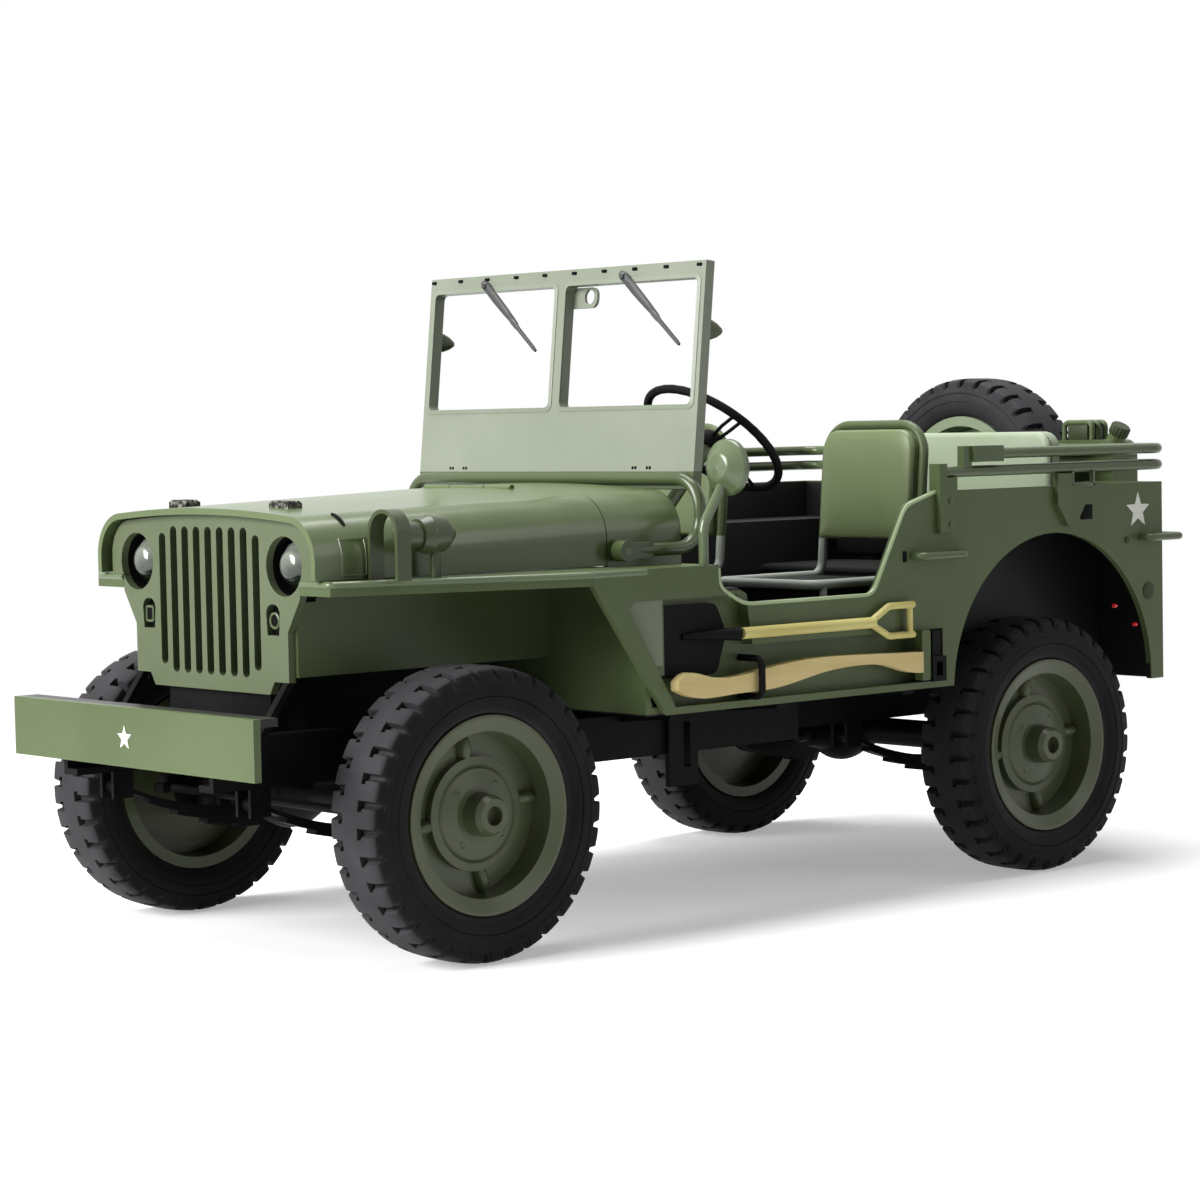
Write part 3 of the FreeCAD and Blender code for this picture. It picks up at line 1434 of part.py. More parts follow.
save("frame", frame())
save("front_bumper", bumper())
save("springs_front", both(leaf_spring(0)))
save("springs_rear", both(leaf_spring(wheelbase)))
save("front_axle", front_axle())
save("rear_axle", rear_axle())
save("knuckle_left", knuckle())
save("knuckle_right", mirrored(knuckle()))
save("tie_rod", tie_rod())
tyre_pattern = tyre_ring()
wheels()
save("engine_block", engine())
save("gearbox", gearbox())
save("propeller_shafts", propeller_shafts())
save("tub", tub())
save("wing_left", wing())
save("wing_right", mirrored(wing()))
save("grille", grille())
save("headlamp_buckets", headlamp_buckets())
save("headlamps", headlamps())
save("marker_lamps", marker_lamps())
save("radiator", radiator())
save("bonnet", bonnet())
save("bonnet_rests", bonnet_rests())
save("cowl", cowl())
save("windscreen", windscreen())
save("wipers", wipers())
save("steering_wheel", steering_wheel())
save("seat_backs", both(seat_back()))
save("seat_cushions", both(seat_cushion()))
save("seat_frames", both(seat_frame()))
bench_cushion, bench_back = rear_bench()
save("bench_cushion", bench_cushion)
save("bench_back", bench_back)
save("bench_frame", bench_frame())
save("top_bows", top_bows())
save("bow_brackets", bow_brackets())
spare()
save("fuel_can", fuel_can())
save("can_rack", can_rack())
save("rear_bumperettes", rear_bumperettes())
save("tow_hook", tow_hook())
save("tail_lamps", tail_lamps())
save("handles", handles())
blade, shovel_handle = shovel()
save("shovel_blade", blade)
save("shovel_handle", shovel_handle)
save("axe_handle", axe())
save("axe_head", axe_head())
save("tool_clamps", tool_clamps())
save("mirror", mirror())
save("blackout_lamp", blackout_lamp())
save("lamp_guard", lamp_guard())
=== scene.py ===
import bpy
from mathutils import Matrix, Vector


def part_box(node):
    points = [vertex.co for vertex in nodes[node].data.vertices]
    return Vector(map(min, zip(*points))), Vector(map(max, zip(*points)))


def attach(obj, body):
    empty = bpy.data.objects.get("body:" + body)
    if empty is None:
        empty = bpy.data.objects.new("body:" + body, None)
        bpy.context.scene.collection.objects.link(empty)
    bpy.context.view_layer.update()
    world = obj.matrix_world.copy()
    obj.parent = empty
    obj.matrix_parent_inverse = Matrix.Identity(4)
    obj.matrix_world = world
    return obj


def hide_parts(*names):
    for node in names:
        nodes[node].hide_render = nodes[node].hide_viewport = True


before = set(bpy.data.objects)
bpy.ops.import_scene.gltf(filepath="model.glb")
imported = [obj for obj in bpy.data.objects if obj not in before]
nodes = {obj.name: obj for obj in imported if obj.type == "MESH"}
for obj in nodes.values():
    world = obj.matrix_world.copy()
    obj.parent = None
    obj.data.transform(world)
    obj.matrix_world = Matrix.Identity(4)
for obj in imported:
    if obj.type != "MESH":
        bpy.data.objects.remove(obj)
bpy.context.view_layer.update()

import math

import bmesh
import bpy
from mathutils import Matrix, Vector
from mathutils.bvhtree import BVHTree

scene = bpy.context.scene
print("frame loaded with", len(nodes), "nodes")


# a socket that expressions can work on
class Wire:
    def __init__(self, paint, socket):
        self.paint = paint
        self.socket = socket

    def join(self, operation, first, second=0.0):
        return self.paint.add("ShaderNodeMath", {"operation": operation}, {0: first, 1: second}).out("Value")

    def __add__(self, other):
        return self.join("ADD", self, other)

    def __sub__(self, other):
        return self.join("SUBTRACT", self, other)

    def __rsub__(self, other):
        return self.join("SUBTRACT", other, self)

    def __mul__(self, other):
        return self.join("MULTIPLY", self, other)

    def __lt__(self, other):
        return self.join("LESS_THAN", self, other)

    def __gt__(self, other):
        return self.join("LESS_THAN", other, self)

    def __abs__(self):
        return self.join("ABSOLUTE", self)


class Added:
    def __init__(self, paint, node):
        self.paint = paint
        self.node = node

    def out(self, name=0):
        return Wire(self.paint, self.node.outputs[name])


# one material, and the way any node is put into it
class Paint:
    def __init__(self, name, tree=None):
        self.material = None
        if tree is None:
            self.material = bpy.data.materials.new(name)
            self.material.use_nodes = True
            tree = self.material.node_tree
        self.tree = tree
        tree.nodes.clear()

    def add(self, kind, settings=None, sockets=None):
        node = self.tree.nodes.new(kind)
        for name, value in (settings or {}).items():
            setattr(node, name, value)
        for name, value in (sockets or {}).items():
            if isinstance(value, Wire):
                self.tree.links.new(value.socket, node.inputs[name])
            else:
                node.inputs[name].default_value = value
        return Added(self, node)

    def place(self):
        return self.add("ShaderNodeTexCoord").out("Object")

    def reach(self, axis):
        return self.add("ShaderNodeSeparateXYZ", None, {0: self.place()}).out(axis)

    def noise(self, scale, detail=3.0, roughness=0.5, vector=None):
        sockets = {"Vector": vector or self.place(), "Scale": scale, "Detail": detail, "Roughness": roughness}
        return self.add("ShaderNodeTexNoise", None, sockets).out()

    def band(self, value, low, high):
        sockets = {"Value": value, "From Min": low, "From Max": high}
        return self.add("ShaderNodeMapRange", {"clamp": True}, sockets).out()

    def patches(self, finish):
        patch = self.noise(*finish["patch"])
        return self.band(patch, *finish["band"]) if "band" in finish else patch

    def blendColours(self, factor, first, second):
        first, second = (tone if isinstance(tone, Wire) else (*tone, 1.0) for tone in (first, second))
        return self.add("ShaderNodeMix", {"data_type": "RGBA"}, {0: factor, 6: first, 7: second}).out(2)

    def bump(self, height, strength, distance):
        sockets = {"Height": height, "Strength": strength, "Distance": distance}
        return self.add("ShaderNodeBump", None, sockets).out()

    def finished(self, shader):
        self.add("ShaderNodeOutputMaterial", None, {"Surface": shader.out()})
        return self.material

    def surface(self, sockets):
        return self.finished(self.add("ShaderNodeBsdfPrincipled", None, sockets))


# Sizes and places are in millimetres, and places count y from the front axle
milli = 0.001
carMiddle = 110.05


def mm(x, y, z):
    return Vector((x, y, z)) * milli


def at(x, y, z):
    return mm(x, y - carMiddle, z)


# Finishes. A patch is a noise's scale, detail and roughness, a band is where it goes from tone to tone,
# and a roughness in brackets is how much of it varies and the least of it
bodyFinish = {
    "tones": ((0.072, 0.100, 0.038), (0.092, 0.124, 0.054)), "patch": (16.0, 4.0, 0.6), "band": (0.35, 0.68),
    "grain": (2600.0, 2.0), "bump": (0.25, 0.00003), "roughness": 0.36, "span": 0.07, "specular": 0.28,
}


def lifted(tones, lift):
    lifts = lift if isinstance(lift, tuple) else (lift,) * 3
    return [[part * share for part, share in zip(tone, lifts)] for tone in tones]


def bodyColour(paint, lift=1.0):
    patch = paint.patches(bodyFinish)
    return patch, paint.blendColours(patch, *lifted(bodyFinish["tones"], lift))


# moulded plastic, with an uneven sheen and a fine grain
def plastic(paint, patch, colour, roughness=None, specular=None, finish=bodyFinish):
    rough = finish["roughness"] if roughness is None else roughness
    return {
        "Base Color": colour,
        "Roughness": patch * finish["span"] + (rough - finish["span"] / 2),
        "Specular IOR Level": finish["specular"] if specular is None else specular,
        "Normal": paint.bump(paint.noise(*finish["grain"]), *finish["bump"]),
    }


def paintBody(name, lift=1.0, roughness=None, specular=None):
    paint = Paint(name)
    return paint.surface(plastic(paint, *bodyColour(paint, lift), roughness, specular))


# green outside; black on every face that looks into the car or under it, which is the tub's own black plastic
# inside and painted shade in the wheel boxes; and a painted highlight, pale green, on the ramp in the tool
# recess
insideFinish = {
    "black": (0.0060, 0.0058, 0.0060), "moreRough": 0.2, "side": 70.95, "front": 51.0, "rear": 252.6,
    "top": 108.8, "low": 56.4, "lip": 1.3, "pocketSide": 68.8, "pocketTop": 86.0,
    "ramp": ((68.8, 43.0, 68.5), (72.45, 54.8, 85.2)), "rampHighlight": (0.185, 0.208, 0.145),
    "rampLean": 0.55, "rampFoot": -20.5,
}


def paintTub(name):
    form = insideFinish
    paint = Paint(name)
    patch, colour = bodyColour(paint)
    x, y, z = (paint.reach(axis) for axis in ("X", "Y", "Z"))
    across = abs(x)
    low = at(form["side"], form["front"], form["low"])
    high = at(form["side"], form["rear"], form["top"])
    pocket = (x > form["pocketSide"] * milli) * (z < form["pocketTop"] * milli)
    inside = (across < high.x) * (y > low.y) * (y < high.y) * (z < high.z) * (1 - pocket)
    under = (z < low.z) * (across < high.x + form["lip"] * milli)
    mask = paint.add("ShaderNodeMath", {"operation": "MAXIMUM"}, {0: inside, 1: under}).out("Value")
    # painted highlight: a pale green on the ramp at the front of the tool recess
    near, far = (at(*corner) for corner in form["ramp"])
    ramp = (x > near.x) * (x < far.x) * (y > near.y) * (y < far.y) * (z > near.z) * (z < far.z)
    ramp = ramp * (y + z * form["rampLean"] > form["rampFoot"] * milli)
    colour = paint.blendColours(ramp, colour, form["rampHighlight"])
    # the black mask holds the tub's own black plastic inside and painted shade in the wheel boxes
    sockets = plastic(paint, patch, paint.blendColours(mask, colour, form["black"]))
    sockets["Roughness"] = sockets["Roughness"] + mask * form["moreRough"]
    return paint.surface(sockets)


# green, with another colour below or above a level along an axis
def paintSplit(name, axis, level, below=None, above=None, lift=1.0):
    paint = Paint(name)
    patch, green = bodyColour(paint, lift)
    mask = paint.reach(axis) < level * milli
    return paint.surface(plastic(paint, patch, paint.blendColours(mask, above or green, below or green)))


# the windscreen's paler, greyer green, a painted reflection of its sheen, with a darker copy of the body's
# green on its bow, painted shade
screenFinish = {"tones": ((0.205, 0.232, 0.172), (0.245, 0.272, 0.212)), "roughness": 0.34, "specular": 0.45,
                "bowTop": 116.5, "bowLift": 0.8, "bowSmoother": 0.1}


def paintScreen(name):
    form = screenFinish
    paint = Paint(name)
    # painted shade: the bow takes a darker copy of the body's green
    patch, green = bodyColour(paint, form["bowLift"])
    bow = paint.reach("Z") < form["bowTop"] * milli
    colour = paint.blendColours(bow, paint.blendColours(patch, *form["tones"]), green)
    sockets = plastic(paint, patch, colour, form["roughness"], form["specular"])
    sockets["Roughness"] = sockets["Roughness"] - bow * form["bowSmoother"]
    return paint.surface(sockets)


blackFinish = {
    "tones": ((0.0028, 0.0028, 0.0031), (0.0072, 0.0072, 0.0072)), "patch": (60.0, 4.0), "band": (0.3, 0.7),
    "grain": (1800.0, 3.0), "bump": (0.3, 0.00008), "roughness": 0.5, "span": 0.12, "specular": 0.06,
}


def paintBlack(name, lift=1.0, roughness=None):
    paint = Paint(name)
    patch = paint.patches(blackFinish)
    colour = paint.blendColours(patch, *lifted(blackFinish["tones"], lift))
    return paint.surface(plastic(paint, patch, colour, roughness, finish=blackFinish))


rubberFinish = {
    "tones": ((0.0060, 0.0059, 0.0064), (0.0130, 0.0125, 0.0135)), "dust": (0.045, 0.044, 0.048),
    "leastDust": 0.5, "patch": (45.0, 5.0, 0.6), "band": (0.35, 0.7), "grain": (900.0, 4.0, 0.7),
    "bump": (0.35, 0.00010), "roughness": (0.15, 0.54), "specular": 0.08, "treadFrom": 8.8, "treadTo": 7.8,
}


# dusty on the tread, which lies about the middle of an axis, and darker on the walls
def paintRubber(name, axis, middle, lift=1.0):
    form = rubberFinish
    paint = Paint(name)
    patch = paint.patches(form)
    grain = paint.noise(*form["grain"])
    away = abs(abs(paint.reach(axis)) - middle * milli)
    tread = paint.band(away, form["treadFrom"] * milli, form["treadTo"] * milli)
    dusty = patch * (1 - form["leastDust"]) + form["leastDust"]
    dust = paint.blendColours(dusty, form["tones"][0], form["dust"])
    wall = paint.blendColours(patch, *lifted(form["tones"], lift))
    span, least = form["roughness"]
    return paint.surface({
        "Base Color": paint.blendColours(tread, wall, dust),
        "Roughness": grain * span + least,
        "Specular IOR Level": form["specular"],
        "Normal": paint.bump(grain, *form["bump"]),
    })


woodFinish = {"stretch": (1.0, 0.12, 1.0), "patch": (240.0, 6.0, 0.65), "band": (0.35, 0.7),
              "bump": (0.3, 0.0001), "roughness": (0.15, 0.38), "specular": 0.35}


def paintWood(name, pale, deep):
    form = woodFinish
    paint = Paint(name)
    stretched = paint.add("ShaderNodeMapping", None, {"Vector": paint.place(), "Scale": form["stretch"]})
    grain = paint.noise(*form["patch"], stretched.out())
    streak = paint.band(grain, *form["band"])
    span, least = form["roughness"]
    return paint.surface({
        "Base Color": paint.blendColours(streak, pale, deep),
        "Roughness": streak * span + least,
        "Specular IOR Level": form["specular"],
        "Normal": paint.bump(grain, *form["bump"]),
    })


# two tones in patches, or, where the finish has reflection levels, the second one above the first: a painted
# reflection, pale above and dark below
def paintTones(name, finish, more=None):
    paint = Paint(name)
    patch = paint.patches(finish)
    share = patch
    if "levels" in finish:
        low, high, waver = (part * milli for part in finish["levels"])
        share = paint.band(paint.reach("Z") + patch * waver, low, high)
    span, least = finish["roughness"]
    sockets = {"Base Color": paint.blendColours(share, *finish["tones"]), "Roughness": patch * span + least}
    return paint.surface({**sockets, **finish["shader"], **(more or {})})


# painted reflection: the headlamp domes are dark below a level and pale above it
lampFinish = {"tones": ((0.012, 0.017, 0.010), (0.34, 0.38, 0.32)), "patch": (160.0, 3.0),
              "levels": (95.0, 104.5, 3.0), "roughness": (0.06, 0.14),
              "shader": {"Metallic": 0.35, "Coat Weight": 0.5, "Coat Roughness": 0.05}}
redFinish = {"tones": ((0.30, 0.006, 0.008), (0.42, 0.012, 0.014)), "patch": (300.0, 2.0),
             "roughness": (0.08, 0.16),
             "shader": {"Coat Weight": 0.6, "Coat Roughness": 0.05, "Emission Color": (0.9, 0.02, 0.03, 1.0)}}
diodeGlow = 0.25
tubeFinish = {"tones": ((0.30, 0.33, 0.30), (0.44, 0.47, 0.43)), "patch": (120.0, 3.0),
              "roughness": (0.1, 0.28), "shader": {"Metallic": 0.35, "Specular IOR Level": 0.5}}
markingFinish = {"tones": ((0.88, 0.90, 0.80), (0.60, 0.63, 0.52)), "patch": (700.0, 5.0, 0.7),
                 "band": (0.62, 0.74), "roughness": (0.1, 0.5), "shader": {"Specular IOR Level": 0.3}}
speckFinish = {"tones": ((0.0028, 0.0028, 0.0031), (0.20, 0.21, 0.16)), "patch": (650.0, 4.0, 0.7),
               "band": (0.50, 0.58), "roughness": (0.1, 0.5), "shader": {"Specular IOR Level": 0.2}}

# the wheels and the spare: middle, turn about the vertical in degrees, and body
wheels = {
    "front_left": ((61.5, 0.0, 36.0), 0.0, "wheel_front_left"),
    "front_right": ((-61.5, 0.0, 36.0), 180.0, "wheel_front_right"),
    "rear_left": ((61.5, 205.0, 36.0), 0.0, "wheel_rear_left"),
    "rear_right": ((-61.5, 205.0, 36.0), 180.0, "wheel_rear_right"),
    "spare": ((-10.0, 266.6, 105.0), 90.0, "chassis"),
}
wheelSide = wheels["front_left"][0][0]
spareBack = wheels["spare"][0][1] - carMiddle
bumperBack = -54.4 - carMiddle
benchTop, frameTop = 100.0, 95.5
black = insideFinish["black"]

# after a body paint's name: lift of the green, roughness and specular level
finishes = {
    "body": paintBody("olive_plastic"),
    "tub": paintTub("olive_and_black_tub"),
    "wing": paintBody("olive_wing", 0.95, 0.34),
    # painted light: a paler copy of the green on the bonnet and the cowl
    "bonnet": paintBody("olive_bonnet", 1.3, 0.24, 0.5),
    "screen": paintScreen("screen_painted_reflection"),
    "gloss": paintBody("olive_gloss", 0.95, 0.25, 0.36),
    # painted shade: a much darker copy of the green for the dark spots on the sides and the fuel can's top
    "shade": paintBody("olive_painted_shade", 0.42, 0.5, 0.2),
    # painted light: a much paler, greyer copy of the green on the spare's rim and its ears
    "spareRim": paintBody("olive_spare_rim", (2.6, 2.35, 3.5), 0.34, 0.4),
    # painted highlight: a much paler copy of the green on the door edge beads
    "edge": paintBody("olive_painted_highlight_edge", (4.4, 4.1, 5.6), 0.24, 0.5),
    # painted highlight: a paler copy of the green on the wing beads
    "wingEdge": paintBody("olive_wing_edge", (1.45, 1.42, 1.8), 0.25, 0.4),
    # painted light: a paler, greyer copy of the green on the grille
    "grille": paintBody("olive_grille", (1.2, 1.1, 1.4)),
    # painted highlight: a paler, greyer copy of the green on the mirror
    "mirror": paintBody("olive_mirror", (1.25, 1.22, 1.45), 0.22, 0.6),
    "guard": paintBody("olive_guard", 0.6, 0.3, 0.4),
    "wiper": paintBody("grey_wiper", (0.55, 0.42, 1.0), 0.4, 0.4),
    "speckle": paintTones("speckled_rest", speckFinish),
    "bumper": paintSplit("olive_and_black_bumper", "Y", bumperBack, None, black),
    # painted shade: a darker, browner copy of the green on the rims, the windscreen's knobs and the bracket
    # screws
    "rim": paintBody("olive_rim", (0.78, 0.70, 0.80), 0.32, 0.34),
    # painted light: a paler copy of the green on the seat backs
    "seat": paintBody("olive_seat", (1.95, 1.85, 1.95), 0.34, 0.4),
    # painted highlight: a much paler copy of the green on the bench back above its top level; black below it
    "bench": paintSplit("olive_and_black_bench", "Z", benchTop, black, None, (4.0, 3.5, 5.8)),
    "seatFrame": paintSplit("olive_and_pale_tube", "Z", frameTop, (0.34, 0.37, 0.33)),
    "black": paintBlack("black_plastic"),
    # painted shade: a darker black for the lamp buckets, the marker lamps, the windscreen's studs and holes,
    # the bonnet catches and the slot on the sides, where holes and slots stand in shade
    "shadeBlack": paintBlack("black_painted_shade", 0.7, 0.7),
    # the cushions' black is partly the seats' own black plastic and partly painted shade; the steering rim is
    # black plastic
    "cloth": paintBlack("black_cushion", 1.1, 0.6),
    "rubber": paintRubber("tyre_rubber", "X", wheelSide),
    # painted light: the spare's tyre walls are a paler copy of the rubber
    "spareRubber": paintRubber("spare_rubber", "Y", spareBack, 3.2),
    "yellowWood": paintWood("shovel_wood", (0.66, 0.60, 0.22), (0.54, 0.46, 0.14)),
    "tanWood": paintWood("axe_wood", (0.70, 0.57, 0.27), (0.60, 0.47, 0.19)),
    "lamp": paintTones("lamp_dome_painted_reflection", lampFinish),
    "red": paintTones("red_lens", redFinish, {"Emission Strength": 0.0}),
    "redGlow": paintTones("red_diode", redFinish, {"Emission Strength": diodeGlow}),
    "tube": paintTones("seat_tube", tubeFinish),
    "marking": paintTones("cream_marking", markingFinish),
}
finishOf = {
    "black": ["frame", "springs_front", "springs_rear", "front_axle", "rear_axle", "knuckle_left",
              "knuckle_right", "tie_rod", "engine_block", "gearbox", "propeller_shafts", "radiator",
              "tow_hook", "shovel_blade", "tool_clamps", "rear_bumperettes", "bonnet_rests",
              "steering_wheel"],
    # painted shade in the lamp buckets and the marker lamps
    "shadeBlack": ["headlamp_buckets", "marker_lamps"],
    "yellowWood": ["shovel_handle"],
    "tanWood": ["axe_handle"],
    "lamp": ["headlamps"],
    "red": ["tail_lamps"],
    "tube": ["bench_frame"],
    "seatFrame": ["seat_frames"],
    "bonnet": ["bonnet", "cowl"],
    "bumper": ["front_bumper"],
    "gloss": ["top_bows", "handles"],
    "guard": ["lamp_guard", "blackout_lamp"],
    "grille": ["grille"],
    "mirror": ["mirror"],
    "screen": ["windscreen"],
    "tub": ["tub"],
    "wing": ["wing_left", "wing_right"],
    "rim": ["rim_front_left", "rim_front_right", "rim_rear_left", "rim_rear_right"],
    "spareRim": ["spare_rim"],
}
for node in nodes.values():
    node.data.materials.clear()
    node.data.materials.append(finishes["body"])
for finish, names in finishOf.items():
    for name in names:
        nodes[name].data.materials[0] = finishes[finish]
print("finishes made:", len(finishes))


# shapes as lists of points and faces, gathered and then made into one piece
class Shape:
    def __init__(self):
        self.points = []
        self.faces = []

    def rings(self, rings, loop=False):
        first = len(self.points)
        count = len(rings[0])
        for ring in rings:
            self.points += [Vector(point) for point in ring]
        for row in range(len(rings) if loop else len(rings) - 1):
            here = first + row * count
            there = first + (row + 1) % len(rings) * count
            for i in range(count):
                j = (i + 1) % count
                self.faces.append((here + i, here + j, there + j, there + i))
        if not loop:
            self.faces.append(tuple(range(first + count - 1, first - 1, -1)))
            last = first + (len(rings) - 1) * count
            self.faces.append(tuple(range(last, last + count)))
        return self

    def moved(self, matrix):
        self.points = [matrix @ point for point in self.points]
        return self

    def join(self, other):
        first = len(self.points)
        self.points += other.points
        self.faces += [tuple(index + first for index in face) for face in other.faces]
        return self


def tilted(degrees, axis):
    return Matrix.Rotation(math.radians(degrees), 4, axis)


def fullTurn(count):
    return [2 * math.pi * i / count for i in range(count)]


def aroundX(along, away, angle):
    return mm(along, away * math.cos(angle), away * math.sin(angle))


def turnTo(way):
    return Vector((1, 0, 0)).rotation_difference(Vector(way).normalized()).to_matrix()


def roundAbout(profile, centre, axis, steps=32):
    turn = turnTo(axis)
    return Shape().rings([[centre + turn @ aroundX(along, away, angle) for angle in fullTurn(steps)]
                          for along, away in profile])


def tubeAlong(points, radius, sides=12):
    rings = []
    facing = None
    for i, point in enumerate(points):
        before = points[max(i - 1, 0)]
        after = points[min(i + 1, len(points) - 1)]
        way = (after - before).normalized()
        if facing is None:
            facing = way.orthogonal().normalized()
        facing = (facing - way * facing.dot(way)).normalized()
        other = way.cross(facing)
        rings.append([point + (facing * math.cos(angle) + other * math.sin(angle)) * radius * milli
                      for angle in fullTurn(sides)])
    return Shape().rings(rings)


def bentLine(points, radius, steps=6):
    line = [points[0]]
    for before, corner, after in zip(points, points[1:], points[2:]):
        start = corner + (before - corner).normalized() * radius * milli
        end = corner + (after - corner).normalized() * radius * milli
        for i in range(steps + 1):
            share = i / steps
            line.append(start * (1 - share) ** 2 + corner * 2 * share * (1 - share) + end * share ** 2)
    line.append(points[-1])
    return line


def softBox(low, high, radius, steps=2):
    mesh = bmesh.new()
    bmesh.ops.create_cube(mesh, size=1.0)
    for vert in mesh.verts:
        vert.co = vert.co * (high - low) + (high + low) / 2
    bmesh.ops.bevel(mesh, geom=mesh.edges[:], offset=radius * milli, segments=steps, profile=0.5,
                    affect="EDGES")
    shape = Shape()
    mesh.verts.index_update()
    shape.points = [vert.co.copy() for vert in mesh.verts]
    shape.faces = [tuple(vert.index for vert in face.verts) for face in mesh.faces]
    mesh.free()
    return shape


def makePiece(name, shape, finish, body, replaced=None, crease=38.0):
    mesh = bpy.data.meshes.new(name)
    mesh.from_pydata([tuple(point) for point in shape.points], [], shape.faces)
    cleaned = bmesh.new()
    cleaned.from_mesh(mesh)
    bmesh.ops.recalc_face_normals(cleaned, faces=cleaned.faces[:])
    cleaned.to_mesh(mesh)
    cleaned.free()
    mesh.shade_smooth()
    mesh.set_sharp_from_angle(angle=math.radians(crease))
    mesh.materials.append(finishes[finish])
    piece = bpy.data.objects.new(name, mesh)
    scene.collection.objects.link(piece)
    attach(piece, body)
    if replaced:
        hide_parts(replaced)
    return piece


# a shape made about the middle of a wheel, put on one of them, and that wheel's body
def onWheel(shape, name):
    place, turn, body = wheels[name]
    return shape.moved(Matrix.Translation(at(*place)) @ tilted(turn, "Z")), body


# Tyres: thin grooves from each shoulder, staggered, each with a hook at its inner end.
# A row of the tread holds how far out it lies, its radius and its share of the grooves' depth
tyreForm = {
    "bars": 34, "depth": 1.9, "samples": (0.0, 0.03, 0.085, 0.14, 0.17, 0.30, 0.335, 0.42), "slack": 0.001,
    "groove": (0.03, 0.17), "hook": (0.03, 0.335), "hookFrom": 2.9, "hookTo": 4.35,
    "shoulder": (0.0, 0.30), "shoulderFrom": 8.4, "crease": 32.0,
    "tread": [(0.0, 36.0, 0.0), (1.5, 36.0, 0.0), (2.85, 36.0, 0.0), (2.95, 35.99, 1.0), (3.6, 35.97, 1.0),
              (4.3, 35.95, 1.0), (4.4, 35.94, 1.0), (5.6, 35.88, 1.0), (6.8, 35.75, 1.0), (7.6, 35.5, 1.0),
              (8.3, 35.05, 1.0), (8.5, 34.9, 0.9), (8.75, 34.2, 0.75), (8.95, 33.4, 0.4), (9.12, 32.6, 0.0)],
    "wall": [(9.36, 31.7), (9.18, 31.3), (9.36, 30.6), (9.48, 29.6), (9.45, 28.9), (9.2, 28.8), (9.42, 28.5),
             (9.3, 27.5), (9.0, 26.4), (8.55, 25.5), (7.9, 24.75), (7.1, 24.4), (6.85, 24.3), (6.8, 22.8)],
}


def tyreShape():
    form = tyreForm
    half = form["tread"] + [(x, radius, 0.0) for x, radius in form["wall"]]
    section = [(-x, radius, cut) for x, radius, cut in reversed(half)] + half[1:]
    samples = form["samples"] + tuple(share + 0.5 for share in form["samples"])
    rows = []
    for x, radius, cut in section:
        first, last = form["hook"] if form["hookFrom"] < abs(x) < form["hookTo"] else form["groove"]
        if abs(x) > form["shoulderFrom"]:
            first, last = form["shoulder"]
        stagger = 0.5 if x > 0 else 0.0
        ring = []
        for bar in range(form["bars"]):
            for share in samples:
                inCut = first - form["slack"] < share - stagger < last + form["slack"]
                away = radius - (form["depth"] * cut if inCut else 0.0)
                ring.append(aroundX(x, away, 2 * math.pi * (bar + share) / form["bars"] - math.pi / 2))
        rows.append(ring)
    return Shape().rings(rows, loop=True)


def makeTyres():
    for name in wheels:
        shape, body = onWheel(tyreShape(), name)
        finish, node = ("spareRubber", "spare_tyre") if name == "spare" else ("rubber", "tyre_" + name)
        makePiece("tread_" + name, shape, finish, body, node, tyreForm["crease"])
    print("tyres made")


# Rim fittings: four ears round the dome and four lobes round the hub.
# A step of an ear holds its share of the way out, of the width and of the height
rimForm = {
    "tilt": 8.0, "floor": 0.7, "sunk": 0.8, "earInner": 13.8, "earOuter": 19.8, "earHalf": 1.9,
    "earSteps": ((0.0, 1.0, 0.75), (0.35, 1.0, 1.0), (0.7, 0.85, 0.9), (0.9, 0.6, 0.6), (1.0, 0.25, 0.15)),
    "earHigh": 3.1, "earSides": 8,
    "lobeAway": 8.3, "lobeFoot": 2.6, "lobe": ((0, 1.5), (1.19, 1.38), (1.7, 0.75)),
}


def earShape(angle):
    form = rimForm
    way = Vector((0, math.cos(angle), math.sin(angle)))
    side = Vector((0, -math.sin(angle), math.cos(angle)))
    rings = []
    for share, width, height in form["earSteps"]:
        centre = way * (form["earInner"] + (form["earOuter"] - form["earInner"]) * share)
        rise = form["earHigh"] * height + form["sunk"]
        ring = []
        for i in range(form["earSides"] + 1):
            bend = math.pi * i / form["earSides"]
            lift = Vector((form["floor"] - form["sunk"] + rise * math.sin(bend), 0, 0))
            ring.append((centre + side * form["earHalf"] * width * math.cos(bend) + lift) * milli)
        rings.append(ring)
    return Shape().rings(rings)


def makeRimFittings():
    form = rimForm
    for name in wheels:
        shape = Shape()
        for i in range(4):
            angle = math.pi / 2 * i + math.radians(form["tilt"])
            shape.join(earShape(angle))
            centre = aroundX(form["lobeFoot"], form["lobeAway"], angle + math.pi / 4)
            shape.join(roundAbout(form["lobe"], centre, (1, 0, 0), 14))
        shape, body = onWheel(shape, name)
        finish = "spareRim" if name == "spare" else "rim"
        makePiece("rim_ears_" + name, shape, finish, body)
    print("rim fittings made")


# Pads for the seats and the bench: a crowned face, a stepped edge and a bead round it.
# A step of the bead holds its inset and its share of the half thickness
padForm = {"steps": 10, "leastBend": 0.6, "backInset": 2.2, "backShrink": 0.3, "backLevel": 0.98,
           "edgeSteps": 4, "bead": ((0.0, -0.25), (0.5, -0.3), (0.5, -0.42), (0.15, -0.5)),
           "faceFrom": 0.5, "crownShares": (0.8, 0.55, 0.3, 0.1)}


